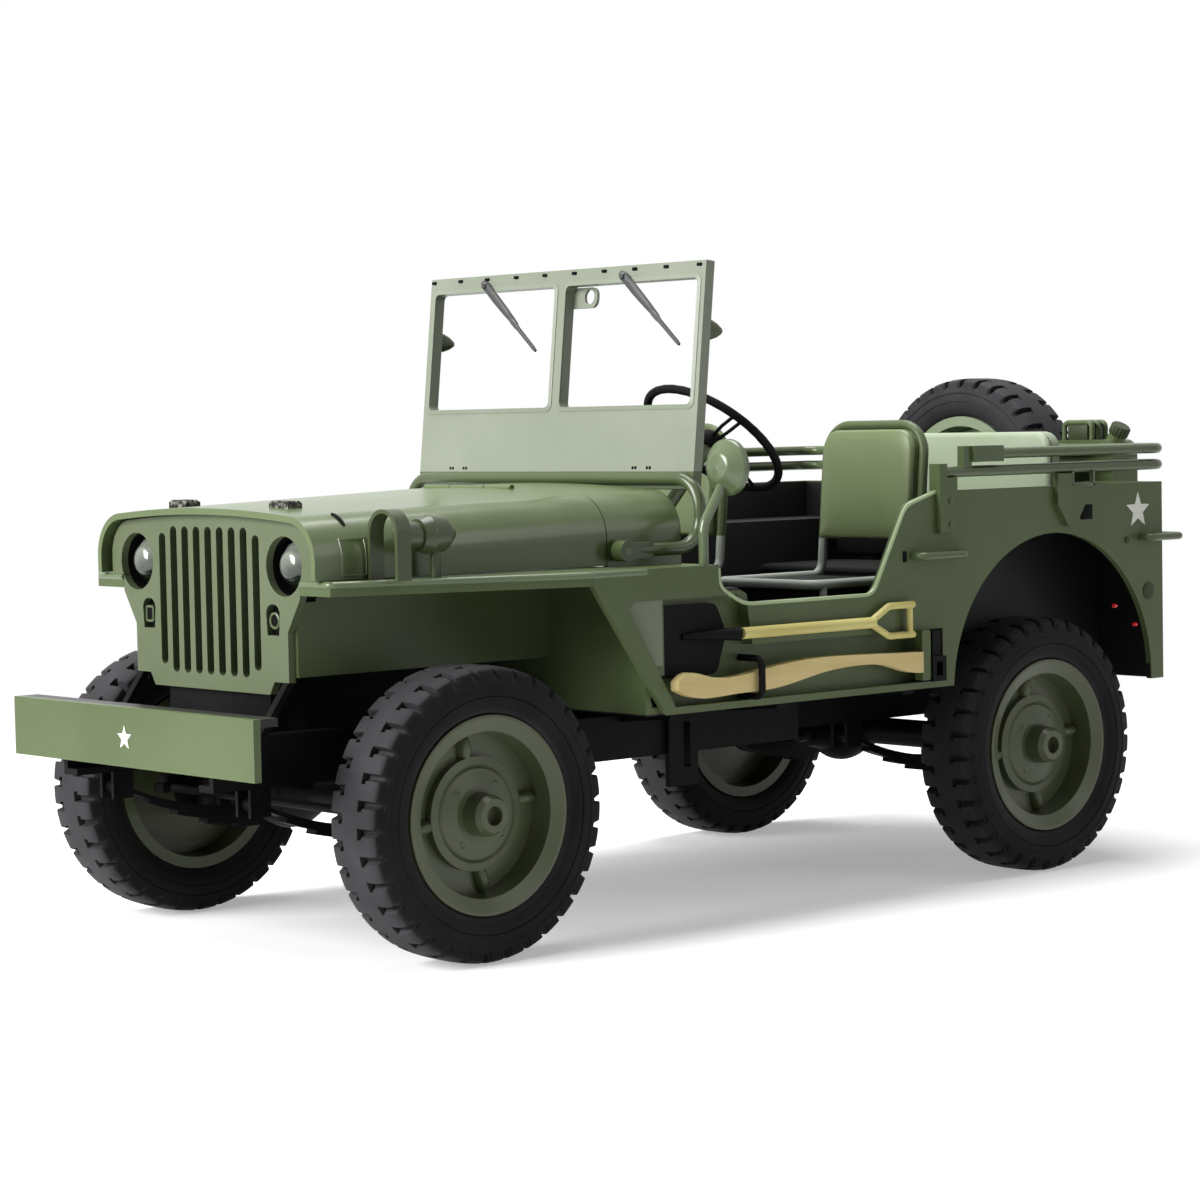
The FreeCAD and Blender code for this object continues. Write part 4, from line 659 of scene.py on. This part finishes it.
def padShape(half, high, thick, corner, edge, crown, lowCorner=None):
    form = padForm

    def ring(inset, level, shrink=1.0):
        points = []
        wide, tall = half - inset, high / 2 - inset
        for quarter, (sx, sz) in enumerate(((1, 1), (-1, 1), (-1, -1), (1, -1))):
            bend = max((corner if sz > 0 or lowCorner is None else lowCorner) - inset, form["leastBend"])
            for i in range(form["steps"] + 1):
                angle = math.pi / 2 * (quarter + i / form["steps"])
                points.append(mm((sx * (wide - bend) + bend * math.cos(angle)) * shrink, level,
                                 (sz * (tall - bend) + bend * math.sin(angle)) * shrink))
        return points

    body = thick / 2
    face = body * form["faceFrom"]
    turns = [math.pi / 2 * i / form["edgeSteps"] for i in range(form["edgeSteps"] + 1)]
    inset = edge * form["backInset"]
    rings = [ring(inset, body * form["backLevel"], form["backShrink"]), ring(inset, body)]
    for angle in turns:
        rings.append(ring(edge * (1 - math.sin(angle)), body - edge * (1 - math.cos(angle))))
    rings += [ring(inset, body * share) for inset, share in form["bead"]]
    for angle in turns:
        level = -face - (body - face - crown) * math.sin(angle)
        rings.append(ring(edge * (1 - math.cos(angle)), level))
    rings += [ring(edge, crown * share ** 2 - body, share) for share in form["crownShares"]]
    return Shape().rings(rings)


# each pad: corner, edge and crown, and the lower corners where they differ
seatForm = {
    "in": 22.5, "out": 57.0, "backLow": 95.3, "backHigh": 126.0, "backY": 165.0, "backThick": 8.0,
    "lean": 5.0, "backGap": 0.05, "backPad": (5.5, 1.0, 0.3, 1.4),
    "cushionLow": 79.0, "cushionHigh": 86.0, "cushionFront": 124.0, "cushionRear": 158.0,
    "cushionGap": 0.2, "cushionPad": (6.0, 1.8, 0.6),
}


def makeSeats():
    form = seatForm
    half = (form["out"] - form["in"]) / 2
    middle = (form["out"] + form["in"]) / 2
    high = form["backHigh"] - form["backLow"]
    long = form["cushionRear"] - form["cushionFront"]
    thick = form["cushionHigh"] - form["cushionLow"]
    gap = form["cushionGap"]
    backs, cushions = Shape(), Shape()
    for side in (1, -1):
        back = padShape(half - form["backGap"], high, form["backThick"], *form["backPad"])
        foot = Matrix.Translation(at(side * middle, form["backY"], form["backLow"]))
        backs.join(back.moved(foot @ tilted(-form["lean"], "X") @ Matrix.Translation(mm(0, 0, high / 2))))
        cushion = padShape(half - gap, long - gap * 2, thick - gap / 2, *form["cushionPad"])
        centre = at(side * middle, form["cushionFront"] + long / 2, form["cushionLow"] + thick / 2)
        cushions.join(cushion.moved(Matrix.Translation(centre) @ tilted(-90.0, "X")))
    piece = makePiece("seat_back_pads", backs, "seat", "chassis", "seat_backs")
    piece = makePiece("seat_cushion_pads", cushions, "cloth", "chassis", "seat_cushions")
    print("seats made")


benchForm = {"gap": 0.2, "backPad": (5.0, 1.6, 0.4, 1.5), "cushionPad": (5.0, 2.0, 0.8)}


def makeBench():
    form = benchForm
    gap = form["gap"]
    for name, finish, pad in (("bench_back", "bench", "backPad"), ("bench_cushion", "cloth", "cushionPad")):
        low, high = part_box(name)
        wide, thick, tall = (high - low) / milli
        place = Matrix.Translation((low + high) / 2)
        if name == "bench_cushion":
            thick, tall = tall, thick
            place = place @ tilted(-90.0, "X")
        shape = padShape(wide / 2 - gap, tall - gap * 2, thick - gap, *form[pad])
        piece = makePiece(name + "_pad", shape.moved(place), finish, "chassis", name)
    print("bench made")


# Markings: five-pointed stars, each with its middle, the way across it and its radius
starForm = {
    "stars": (((72.7, 242.1, 101.2), (0, 1, 0), 5.4), ((-72.7, 242.1, 101.2), (0, -1, 0), 5.4),
              ((-1.7, -56.5, 54.8), (1, 0, 0), 3.1)),
    "inner": 0.42, "proud": 0.12, "sunk": 0.05,
}


def makeStars():
    form = starForm
    up = Vector((0, 0, 1))
    shape = Shape()
    for centre, way, radius in form["stars"]:
        across = Vector(way)
        out = across.cross(up) * milli
        rim = []
        for i in range(10):
            away = radius if i % 2 == 0 else radius * form["inner"]
            angle = math.pi / 2 + math.pi * i / 5
            rim.append(at(*centre) + (across * math.cos(angle) + up * math.sin(angle)) * away * milli)
        shape.rings([[point + out * rise for point in rim] for rise in (-form["sunk"], form["proud"])])
    makePiece("stars", shape, "marking", "chassis")
    print("stars made")


# Windscreen fittings, made upright at the frame's foot and then leaned with it
screenForm = {
    "foot": (0.0, 80.4, 112.0), "lean": 6.17, "thick": 3.0,
    "panes": ((-54.4, -2.3), (2.3, 54.4)), "low": 22.0, "high": 55.0, "corner": 1.5, "bezelWide": 1.15,
    "bezelProud": 0.35, "sunk": 0.1,
    "studs": (-55.6, -43.7, -31.9, -19.3, -7.1, 5.2, 17.4, 29.6, 41.9, 54.6), "studUp": 58.4,
    "studHalf": (0.85, 0.42), "studDepth": (-0.45, 0.2), "studSoft": 0.15,
    "holes": (-42.7, -36.8, 34.0, 39.6), "holeUp": 5.5, "holeShift": 0.55, "hole": ((-0.1, 0.5), (0.12, 0.4)),
    "lever": (-1.3, 11.7, 49.2, 54.8, 2.2), "leverHole": (6.6, 10.4, 50.2, 54.2, 1.85), "leverThick": 0.8,
    "knobX": 55.6, "knobUp": 41.8,
    "knob": ((0.0, 1.2, 2.7), (1.5, 1.2, 2.6), (3.4, 1.1, 1.9), (4.8, 0.9, 1.0), (5.3, 0.5, 0.4)),
}


def onScreen():
    return Matrix.Translation(at(*screenForm["foot"])) @ tilted(-screenForm["lean"], "X")


def roundLoop(x0, x1, z0, z1, corner, y, steps=5):
    left, right, low, high = x0 + corner, x1 - corner, z0 + corner, z1 - corner
    points = []
    for quarter, (x, z) in enumerate(((right, high), (left, high), (left, low), (right, low))):
        for i in range(steps + 1):
            angle = math.pi / 2 * (quarter + i / steps)
            points.append(mm(x + corner * math.cos(angle), y, z + corner * math.sin(angle)))
    return points


def makeScreenFittings():
    form = screenForm
    sunk = form["sunk"]

    bezels = Shape()
    grow, proud = form["bezelWide"], form["bezelProud"]
    low, high, corner = form["low"], form["high"], form["corner"]
    for x0, x1 in form["panes"]:
        inner = (x0, x1, low, high, corner)
        outer = (x0 - grow, x1 + grow, low - grow, high + grow, corner + grow / 2)
        bezels.rings([roundLoop(*outer, sunk), roundLoop(*outer, -proud * 0.5), roundLoop(*inner, -proud),
                      roundLoop(*inner, sunk)], loop=True)
    makePiece("pane_bezels", bezels.moved(onScreen()), "screen", "windscreen")

    studs = Shape()
    wide, tall = form["studHalf"]
    front, back = form["studDepth"]
    up = form["studUp"]
    for x in form["studs"]:
        studs.join(softBox(mm(x - wide, front, up - tall), mm(x + wide, back, up + tall), form["studSoft"]))
    for x in form["holes"]:
        for shift in (-form["holeShift"], form["holeShift"]):
            studs.join(roundAbout(form["hole"], mm(x + shift, 0, form["holeUp"]), (0, -1, 0), 10))
    # the studs and holes are dark with painted shade
    makePiece("screen_studs", studs.moved(onScreen()), "shadeBlack", "windscreen")

    near = form["thick"]
    far = near + form["leverThick"]
    edge, hole = form["lever"], form["leverHole"]
    lever = Shape().rings([roundLoop(*edge, near), roundLoop(*edge, far), roundLoop(*hole, far),
                           roundLoop(*hole, near)], loop=True)
    makePiece("screen_lever", lever.moved(onScreen()), "screen", "windscreen")

    knobs = Shape()
    for side in (1, -1):
        knobs.rings([[mm(side * form["knobX"] + wide * math.cos(angle), near - sunk + along,
                         form["knobUp"] + tall * math.sin(angle)) for angle in fullTurn(20)]
                     for along, wide, tall in form["knob"]])
    # the knobs take the rims' darker green, painted shade
    makePiece("screen_knobs", knobs.moved(onScreen()), "rim", "windscreen")
    print("windscreen fittings made")


# Wipers: a broad arm that tapers to a step, and a thin blade from there to the tip.
# A step of either holds its share of the length and its half width
wiperForm = {
    "pivots": (-31.6, 26.1), "up": 56.5, "reach": (23.9, 0, -19.0), "armDepth": (-0.6, -1.35),
    "arm": ((-0.05, 0.8), (0.0, 1.15), (0.2, 1.3), (0.42, 1.1), (0.6, 0.75), (0.64, 0.3)),
    "blade": ((0.50, 0.2), (0.54, 0.82), (0.62, 0.8), (0.66, 0.58), (0.96, 0.5), (1.0, 0.3)),
    "section": ((-1, 0), (-1, 0.6), (-0.6, 1), (0.6, 1), (1, 0.6), (1, 0)), "bladeDepth": (-0.95, -1.75),
    "boss": ((0.0, 1.1), (1.4, 1.05), (1.9, 0.7)),
}


def stripShape(start, widths, depths):
    reach = Vector(wiperForm["reach"])
    side = Vector((-reach.z, 0, reach.x)).normalized()
    near, far = depths
    return Shape().rings([[(start + reach * share + side * half * out
                            + Vector((0, near + (far - near) * deep, 0))) * milli
                           for out, deep in wiperForm["section"]] for share, half in widths])


def makeWipers():
    form = wiperForm
    shape = Shape()
    for x in form["pivots"]:
        start = Vector((x, 0, form["up"]))
        shape.join(stripShape(start, form["arm"], form["armDepth"]))
        shape.join(stripShape(start, form["blade"], form["bladeDepth"]))
        shape.join(roundAbout(form["boss"], start * milli, (0, -1, 0), 20))
    makePiece("wiper_arms", shape.moved(onScreen()), "wiper", "windscreen", "wipers")
    print("wipers made")


# Bonnet: a bordered panel and a catch on each side, lying on the curved skin
bonnetForm = {
    "panel": (-25.7, -19.6, 94.6, 102.6), "border": 0.7, "borderTop": (0.7, 0.3), "proud": 0.22,
    "sunk": 0.1, "sideSteps": 8, "catch": (39.8, 44.8), "catchY": -22.9, "catchHalf": 0.55,
    "catchTop": 0.7, "catchProud": 0.45, "catchSteps": 6, "catchTip": 0.4, "reach": 70.0, "above": 130.0,
}


def nodeSkin(name):
    mesh = nodes[name].data
    corners = [vert.co for vert in mesh.vertices]
    return BVHTree.FromPolygons(corners, [tuple(face.vertices) for face in mesh.polygons])


# the point where a ray meets the skin, raised or sunk along the skin's outward normal
def onSkin(skin, start, way, proud):
    spot, normal = skin.ray_cast(start, way)[:2]
    if normal.dot(way) > 0:
        normal = -normal
    return spot + normal * proud * milli


def makeBonnetFittings():
    form = bonnetForm
    skin = nodeSkin("bonnet")
    y0, y1, z0, z1 = form["panel"]
    steps, border, proud, sunk = form["sideSteps"], form["border"], form["proud"], -form["sunk"]
    down = Vector((0, 0, -1))
    trims, catches = Shape(), Shape()
    for side in (1, -1):
        def loop(grow, rise):
            ya, yb, za, zb = y0 - grow, y1 + grow, z0 - grow, z1 + grow
            corners = [(ya, za), (yb, za), (yb, zb), (ya, zb)]
            points = []
            for (ya, za), (yb, zb) in zip(corners, corners[1:] + corners[:1]):
                for i in range(steps):
                    start = at(side * form["reach"], ya + (yb - ya) * i / steps, za + (zb - za) * i / steps)
                    points.append(onSkin(skin, start, Vector((-side, 0, 0)), rise))
            return points

        tops = [loop(border * share, proud) for share in form["borderTop"]]
        trims.rings([loop(border, sunk), *tops, loop(0.0, sunk)], loop=True)
        start, end = form["catch"]
        top, rise = form["catchTop"], form["catchProud"]
        section = ((-1, sunk), (-top, rise), (top, rise), (1, sunk))
        rings = []
        for i in range(form["catchSteps"] + 1):
            x = side * (start + (end - start) * i / form["catchSteps"])
            half = form["catchHalf"] * (form["catchTip"] if i in (0, form["catchSteps"]) else 1.0)
            rings.append([onSkin(skin, at(x, form["catchY"] + half * out, form["above"]), down, height)
                          for out, height in section])
        catches.rings(rings)
    makePiece("bonnet_panels", trims, "bonnet", "bonnet")
    # the catches are dark slivers of painted shade
    makePiece("bonnet_catches", catches, "shadeBlack", "bonnet")
    print("bonnet fittings made")


# Rests on the bonnet, with a lumpy top
restForm = {"wide": 8.0, "steps": (18, 10), "lump": 0.55, "waves": (5.3, 2.1, 6.7, 1.7), "edge": 0.5,
            "inset": 0.05}


def makeRests():
    form = restForm
    low, high = (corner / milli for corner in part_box("bonnet_rests"))
    inset = form["inset"]
    across, along = form["steps"]
    a, b, c, d = form["waves"]
    shape = Shape()
    for x0, x1 in ((low.x, low.x + form["wide"]), (high.x - form["wide"], high.x)):
        rings = []
        for j in range(along + 1):
            y = low.y + inset + (high.y - low.y - 2 * inset) * j / along
            ring = [Vector((x1 - inset, y, low.z)), Vector((x0 + inset, y, low.z))]
            for i in range(across + 1):
                x = x0 + inset + (x1 - x0 - 2 * inset) * i / across
                lump = math.sin(x * a + y * b) * math.cos(y * c - x * d)
                edge = form["edge"] if i in (0, across) or j in (0, along) else 0.0
                ring.append(Vector((x, y, high.z - form["lump"] * (0.5 - lump / 2) - edge)))
            rings.append([point * milli for point in ring])
        shape.rings(rings)
    makePiece("rest_pads", shape, "speckle", "bonnet", "bonnet_rests")
    print("bonnet rests made")


# Small fittings on the body. A row of a turned form holds how far along its axis it lies and its radius
fittingForm = {
    "wingBead": ((38.6, -31.3), (50.3, -31.3), (72.2, 31.6), (72.2, 49.6)), "wingBeadZ": 92.2,
    "wingBeadRadius": 0.95, "wingBeadBend": 1.5,
    "doorBead": ((74.6, 92.0), (74.6, 87.2), (83.6, 82.4), (131.0, 82.4), (144.2, 105.7), (156.0, 109.0)),
    "doorBeadX": 72.35, "doorBeadRadius": 0.55, "doorBeadBend": 3.0,
    "reflector": (72.7, 246.7, 77.6), "reflectorForm": ((-0.1, 2.6), (0.25, 2.55), (0.4, 2.2), (0.45, 1.2)),
    "dimple": (72.7, 236.9, 92.7), "dimpleForm": ((-0.1, 1.0), (0.3, 0.95), (0.55, 0.6)),
    "slot": (72.7, 143.3, 92.0), "slotHalf": (0.3, 0.7, 1.5), "slotSoft": 0.2,
    "screws": ((74.3, 160.2, 106.5), (74.3, 160.1, 100.1)),
    "screwForm": ((-0.1, 0.8), (0.3, 0.8), (0.5, 0.5)),
    "clip": ((72.9, 211.2, 108.8), (74.2, 221.4, 113.2)), "clipThick": 1.1, "clipSoft": 0.25,
    "hollow": ((72.5, 216.5, 99.4), (73.0, 221.5, 103.6)), "hollowSoft": 0.14,
    "diodes": ((69.6, 235.1, 73.8), (69.6, 244.3, 67.9)),
    "diodeForm": ((-0.6, 0.558), (0.2, 0.558), (0.7, 0.403), (0.9, 0.155)),
    "marker": (27.2, -31.25, 83.1), "markerRing": 1.8, "markerTube": 0.35, "markerWide": 0.85,
    "markerBend": 0.5,
}


# a soft box from two corners, on the side of the car that is asked for
def slab(low, high, radius, side=1):
    x0, x1 = sorted((side * low[0], side * high[0]))
    return softBox(at(x0, *low[1:]), at(x1, *high[1:]), radius)


def makeBodyFittings():
    form = fittingForm
    beads, edges, darks, spots, clips, bolts, glows = (Shape() for piece in range(7))
    for side in (1, -1):
        out = (side, 0, 0)
        line = [at(side * x, y, form["wingBeadZ"]) for x, y in form["wingBead"]]
        beads.join(tubeAlong(bentLine(line, form["wingBeadBend"]), form["wingBeadRadius"], 14))
        line = [at(side * form["doorBeadX"], y, z) for y, z in form["doorBead"]]
        edges.join(tubeAlong(bentLine(line, form["doorBeadBend"]), form["doorBeadRadius"]))
        for name, steps in (("reflector", 28), ("dimple", 20)):
            x, y, z = form[name]
            spots.join(roundAbout(form[name + "Form"], at(side * x, y, z), out, steps))
        for x, y, z in form["screws"]:
            bolts.join(roundAbout(form["screwForm"], at(side * x, y, z), out, 14))
        middle, half = Vector(form["slot"]), Vector(form["slotHalf"])
        # painted shade: a dark sheet for the slot
        darks.join(slab(middle - half, middle + half, form["slotSoft"], side))
        # painted shadow: a dark sheet below the bow clip
        darks.join(slab(*form["hollow"], form["hollowSoft"], side))
        (x0, y0, z0), (x1, y1, z1) = form["clip"]
        thick = form["clipThick"]
        for ya, yb, za, zb in ((y0, y0 + thick, z0, z1), (y1 - thick, y1, z0, z1), (y0, y1, z0, z0 + thick)):
            clips.join(slab((x0, ya, za), (x1, yb, zb), form["clipSoft"], side))
    for place in form["diodes"]:
        glows.join(roundAbout(form["diodeForm"], at(*place), (1, 0, 0), 16))
    x, y, z = form["marker"]
    ring, tube, wide = form["markerRing"], form["markerTube"], form["markerRing"] * form["markerWide"]
    circle = [at(x + ring * math.cos(turn), y, z + ring * math.sin(turn)) for turn in fullTurn(24)]
    clips.join(tubeAlong(circle + circle[:1], tube, 8))
    corners = ((wide, ring), (-wide, ring), (-wide, -ring), (wide, -ring), (wide, ring))
    square = bentLine([at(-x + dx, y, z + dz) for dx, dz in corners], form["markerBend"])
    clips.join(tubeAlong(square, tube, 8))
    # the wing beads carry a painted highlight
    makePiece("wing_beads", beads, "wingEdge", "chassis")
    # the door edge beads carry a painted highlight
    makePiece("door_edge_beads", edges, "edge", "chassis")
    # the slots piece holds the slot and the clip's shadow, both dark sheets of painted shade
    makePiece("side_slots", darks, "shadeBlack", "chassis")
    # the reflectors and dimples are dark with painted shade
    makePiece("side_spots", spots, "shade", "chassis")
    makePiece("bow_clips_and_lamp_rings", clips, "gloss", "chassis")
    makePiece("bracket_screws", bolts, "rim", "chassis")
    makePiece("arch_diodes", glows, "redGlow", "chassis")
    print("body fittings made")


# Steering wheel with three double spokes, on a column that stands on the firewall
steerForm = {
    "centre": (37.3, 106.7, 124.6), "foot": (33.0, 53.6, 64.9), "radius": 20.3, "rim": 1.2, "grips": 34,
    "gripDepth": 0.05, "rimSteps": 72, "rimSides": 14, "spokes": 3, "spokeRadius": 0.5, "spokeApart": 0.06,
    "spokeNarrow": 0.6, "spokeSunk": 0.6,
    "hub": ((-3.2, 2.6), (-2.0, 3.4), (0.2, 3.4), (1.0, 2.8), (1.4, 1.4)),
    "column": 1.8, "columnShort": 2.5, "collar": ((0, 2.5), (1.5, 2.5), (2.4, 2.0)),
}


def makeSteering():
    form = steerForm
    centre, foot = at(*form["centre"]), at(*form["foot"])
    way = (centre - foot).normalized()
    across = way.cross(Vector((0, 1, 0))).normalized()
    up = across.cross(way)
    reach = form["radius"] * milli
    rings = []
    for turn in fullTurn(form["rimSteps"]):
        out = across * math.cos(turn) + up * math.sin(turn)
        grip = 0.5 + 0.5 * math.cos(form["grips"] * turn)
        thick = form["rim"] * (1 - form["gripDepth"] * grip) * milli
        rings.append([centre + out * (reach + thick * math.cos(angle)) + way * thick * math.sin(angle)
                      for angle in fullTurn(form["rimSides"])])
    wheel = Shape().rings(rings, loop=True)
    for turn in fullTurn(form["spokes"]):
        turn += math.pi / 2
        out = (across * math.cos(turn) + up * math.sin(turn)) * reach
        for lean in (-form["spokeApart"], form["spokeApart"]):
            aside = (up * math.cos(turn) - across * math.sin(turn)) * reach * lean
            start = centre + aside * form["spokeNarrow"] - way * form["spokeSunk"] * milli
            line = [start, centre + out / 2 + aside, centre + out + aside]
            wheel.join(tubeAlong(line, form["spokeRadius"], 8))
    wheel.join(roundAbout(form["hub"], centre, way, 28))
    makePiece("steering_rim", wheel, "cloth", "chassis", "steering_wheel")
    column = tubeAlong([foot, centre - way * form["columnShort"] * milli], form["column"], 20)
    column.join(roundAbout(form["collar"], foot, way, 24))
    makePiece("steering_column", column, "gloss", "chassis")
    print("steering wheel made")


# Fuel can: a web between the carrying bars and a knurled cap, both dark with painted shade.
# A step of the cap holds how far along it lies, its radius and the knurls' depth
canForm = {"web": ((33.0, 258.4, 121.3), (40.8, 266.2, 126.2)), "webSoft": 0.6,
           "cap": (49.2, 262.25, 122.9), "capWay": (0.52, 0, 0.86), "knurls": 18,
           "capSteps": ((0.0, 2.7, 0.0), (0.2, 3.0, 0.35), (2.8, 3.0, 0.35), (3.2, 2.55, 0.0))}


def makeCanTop():
    form = canForm
    makePiece("can_web", slab(*form["web"], form["webSoft"]), "shade", "chassis")
    centre, turn = at(*form["cap"]), turnTo(form["capWay"])
    rings = []
    for along, radius, knurl in form["capSteps"]:
        rings.append([centre + turn @ aroundX(along, radius - (knurl if i % 2 else 0.0), angle)
                      for i, angle in enumerate(fullTurn(form["knurls"] * 2))])
    makePiece("can_cap", Shape().rings(rings), "shade", "chassis")
    print("can top made")


# Floor, backdrop, lamps and camera, in metres
stageSet = {"floorHalf": 6.0, "floorTone": 0.80, "lift": 0.36, "ambient": 0.08, "whiteFrom": 0.24,
            "whiteTo": 0.62}
white = (1.0, 1.0, 1.0, 1.0)


# 1 for the rays that see the background, and 0 for those that light the object
def seenRays(paint):
    path = paint.add("ShaderNodeLightPath")
    return path.out("Is Camera Ray") + path.out("Is Glossy Ray") + path.out("Is Transmission Ray")


def paintFloor():
    paint = Paint("pale_floor")
    seen = seenRays(paint)
    tone = stageSet["floorTone"]
    matt = paint.add("ShaderNodeBsdfDiffuse", None, {"Color": (tone, tone, tone, 1.0)})
    glow = paint.add("ShaderNodeEmission", None, {"Color": white, "Strength": seen * stageSet["lift"]})
    both = paint.add("ShaderNodeAddShader", None, {0: matt.out(), 1: glow.out()})
    backdrop = paint.add("ShaderNodeEmission", None, {"Color": white, "Strength": seen})
    away = paint.add("ShaderNodeVectorMath", {"operation": "LENGTH"}, {0: paint.place()}).out("Value")
    fade = paint.band(away, stageSet["whiteFrom"], stageSet["whiteTo"])
    faded = paint.add("ShaderNodeMixShader", None, {0: fade, 1: both.out(), 2: backdrop.out()})
    return paint.finished(faded)


def makeFloor():
    half = stageSet["floorHalf"]
    mesh = bpy.data.meshes.new("floor")
    corners = [(-half, -half, 0), (half, -half, 0), (half, half, 0), (-half, half, 0)]
    mesh.from_pydata(corners, [], [(0, 1, 2, 3)])
    mesh.materials.append(paintFloor())
    floor = bpy.data.objects.new("floor", mesh)
    scene.collection.objects.link(floor)


def makeWorld():
    world = bpy.data.worlds.new("studio")
    world.use_nodes = True
    scene.world = world
    paint = Paint("studio", world.node_tree)
    strength = seenRays(paint) * (1.0 - stageSet["ambient"]) + stageSet["ambient"]
    sky = paint.add("ShaderNodeBackground", None, {"Color": white, "Strength": strength})
    paint.add("ShaderNodeOutputWorld", None, {"Surface": sky.out()})


lampSet = {
    "frontBox": {"place": (-0.35, -1.45, 0.70), "size": 0.9, "power": 42.0},
    "topBox": {"place": (-0.2, 0.1, 1.5), "size": 1.0, "power": 26.0},
    "sideBox": {"place": (1.5, 0.5, 0.8), "size": 0.8, "power": 3.0},
}
lampAim = Vector((0.0, 0.0, 0.07))


def makeLamps():
    for name, lamp in lampSet.items():
        light = bpy.data.lights.new(name, "AREA")
        light.shape = "SQUARE"
        light.size = lamp["size"]
        light.energy = lamp["power"]
        holder = bpy.data.objects.new(name, light)
        holder.location = lamp["place"]
        holder.rotation_euler = (lampAim - holder.location).to_track_quat("-Z", "Y").to_euler()
        scene.collection.objects.link(holder)


cameraSet = {"azimuth": 48.5157, "pitch": 3.28, "roll": -1.11, "focalPixels": 3125.97, "photoWidth": 1200.0,
             "sensor": 36.0, "clip": 0.01, "place": (0.64653, -0.58359, 0.13001)}


def makeCamera():
    azimuth, pitch, roll = (math.radians(cameraSet[key]) for key in ("azimuth", "pitch", "roll"))
    level = Vector((math.cos(azimuth), math.sin(azimuth), 0.0))
    forward = Vector((-math.sin(azimuth) * math.cos(pitch), math.cos(azimuth) * math.cos(pitch),
                      -math.sin(pitch)))
    above = level.cross(forward)
    right = level * math.cos(roll) + above * math.sin(roll)
    up = above * math.cos(roll) - level * math.sin(roll)
    lens = bpy.data.cameras.new("photo_camera")
    lens.sensor_width = cameraSet["sensor"]
    lens.lens = cameraSet["focalPixels"] / cameraSet["photoWidth"] * cameraSet["sensor"]
    lens.clip_start = cameraSet["clip"]
    camera = bpy.data.objects.new("photo_camera", lens)
    turn = Matrix((right, up, -forward)).transposed().to_4x4()
    camera.matrix_world = Matrix.Translation(Vector(cameraSet["place"])) @ turn
    scene.collection.objects.link(camera)
    scene.camera = camera


for make in (makeTyres, makeRimFittings, makeSeats, makeBench, makeStars, makeScreenFittings, makeWipers,
             makeBonnetFittings, makeRests, makeBodyFittings, makeSteering, makeCanTop, makeFloor, makeWorld,
             makeLamps, makeCamera):
    make()
scene.view_settings.view_transform = "Standard"
print("stage set")
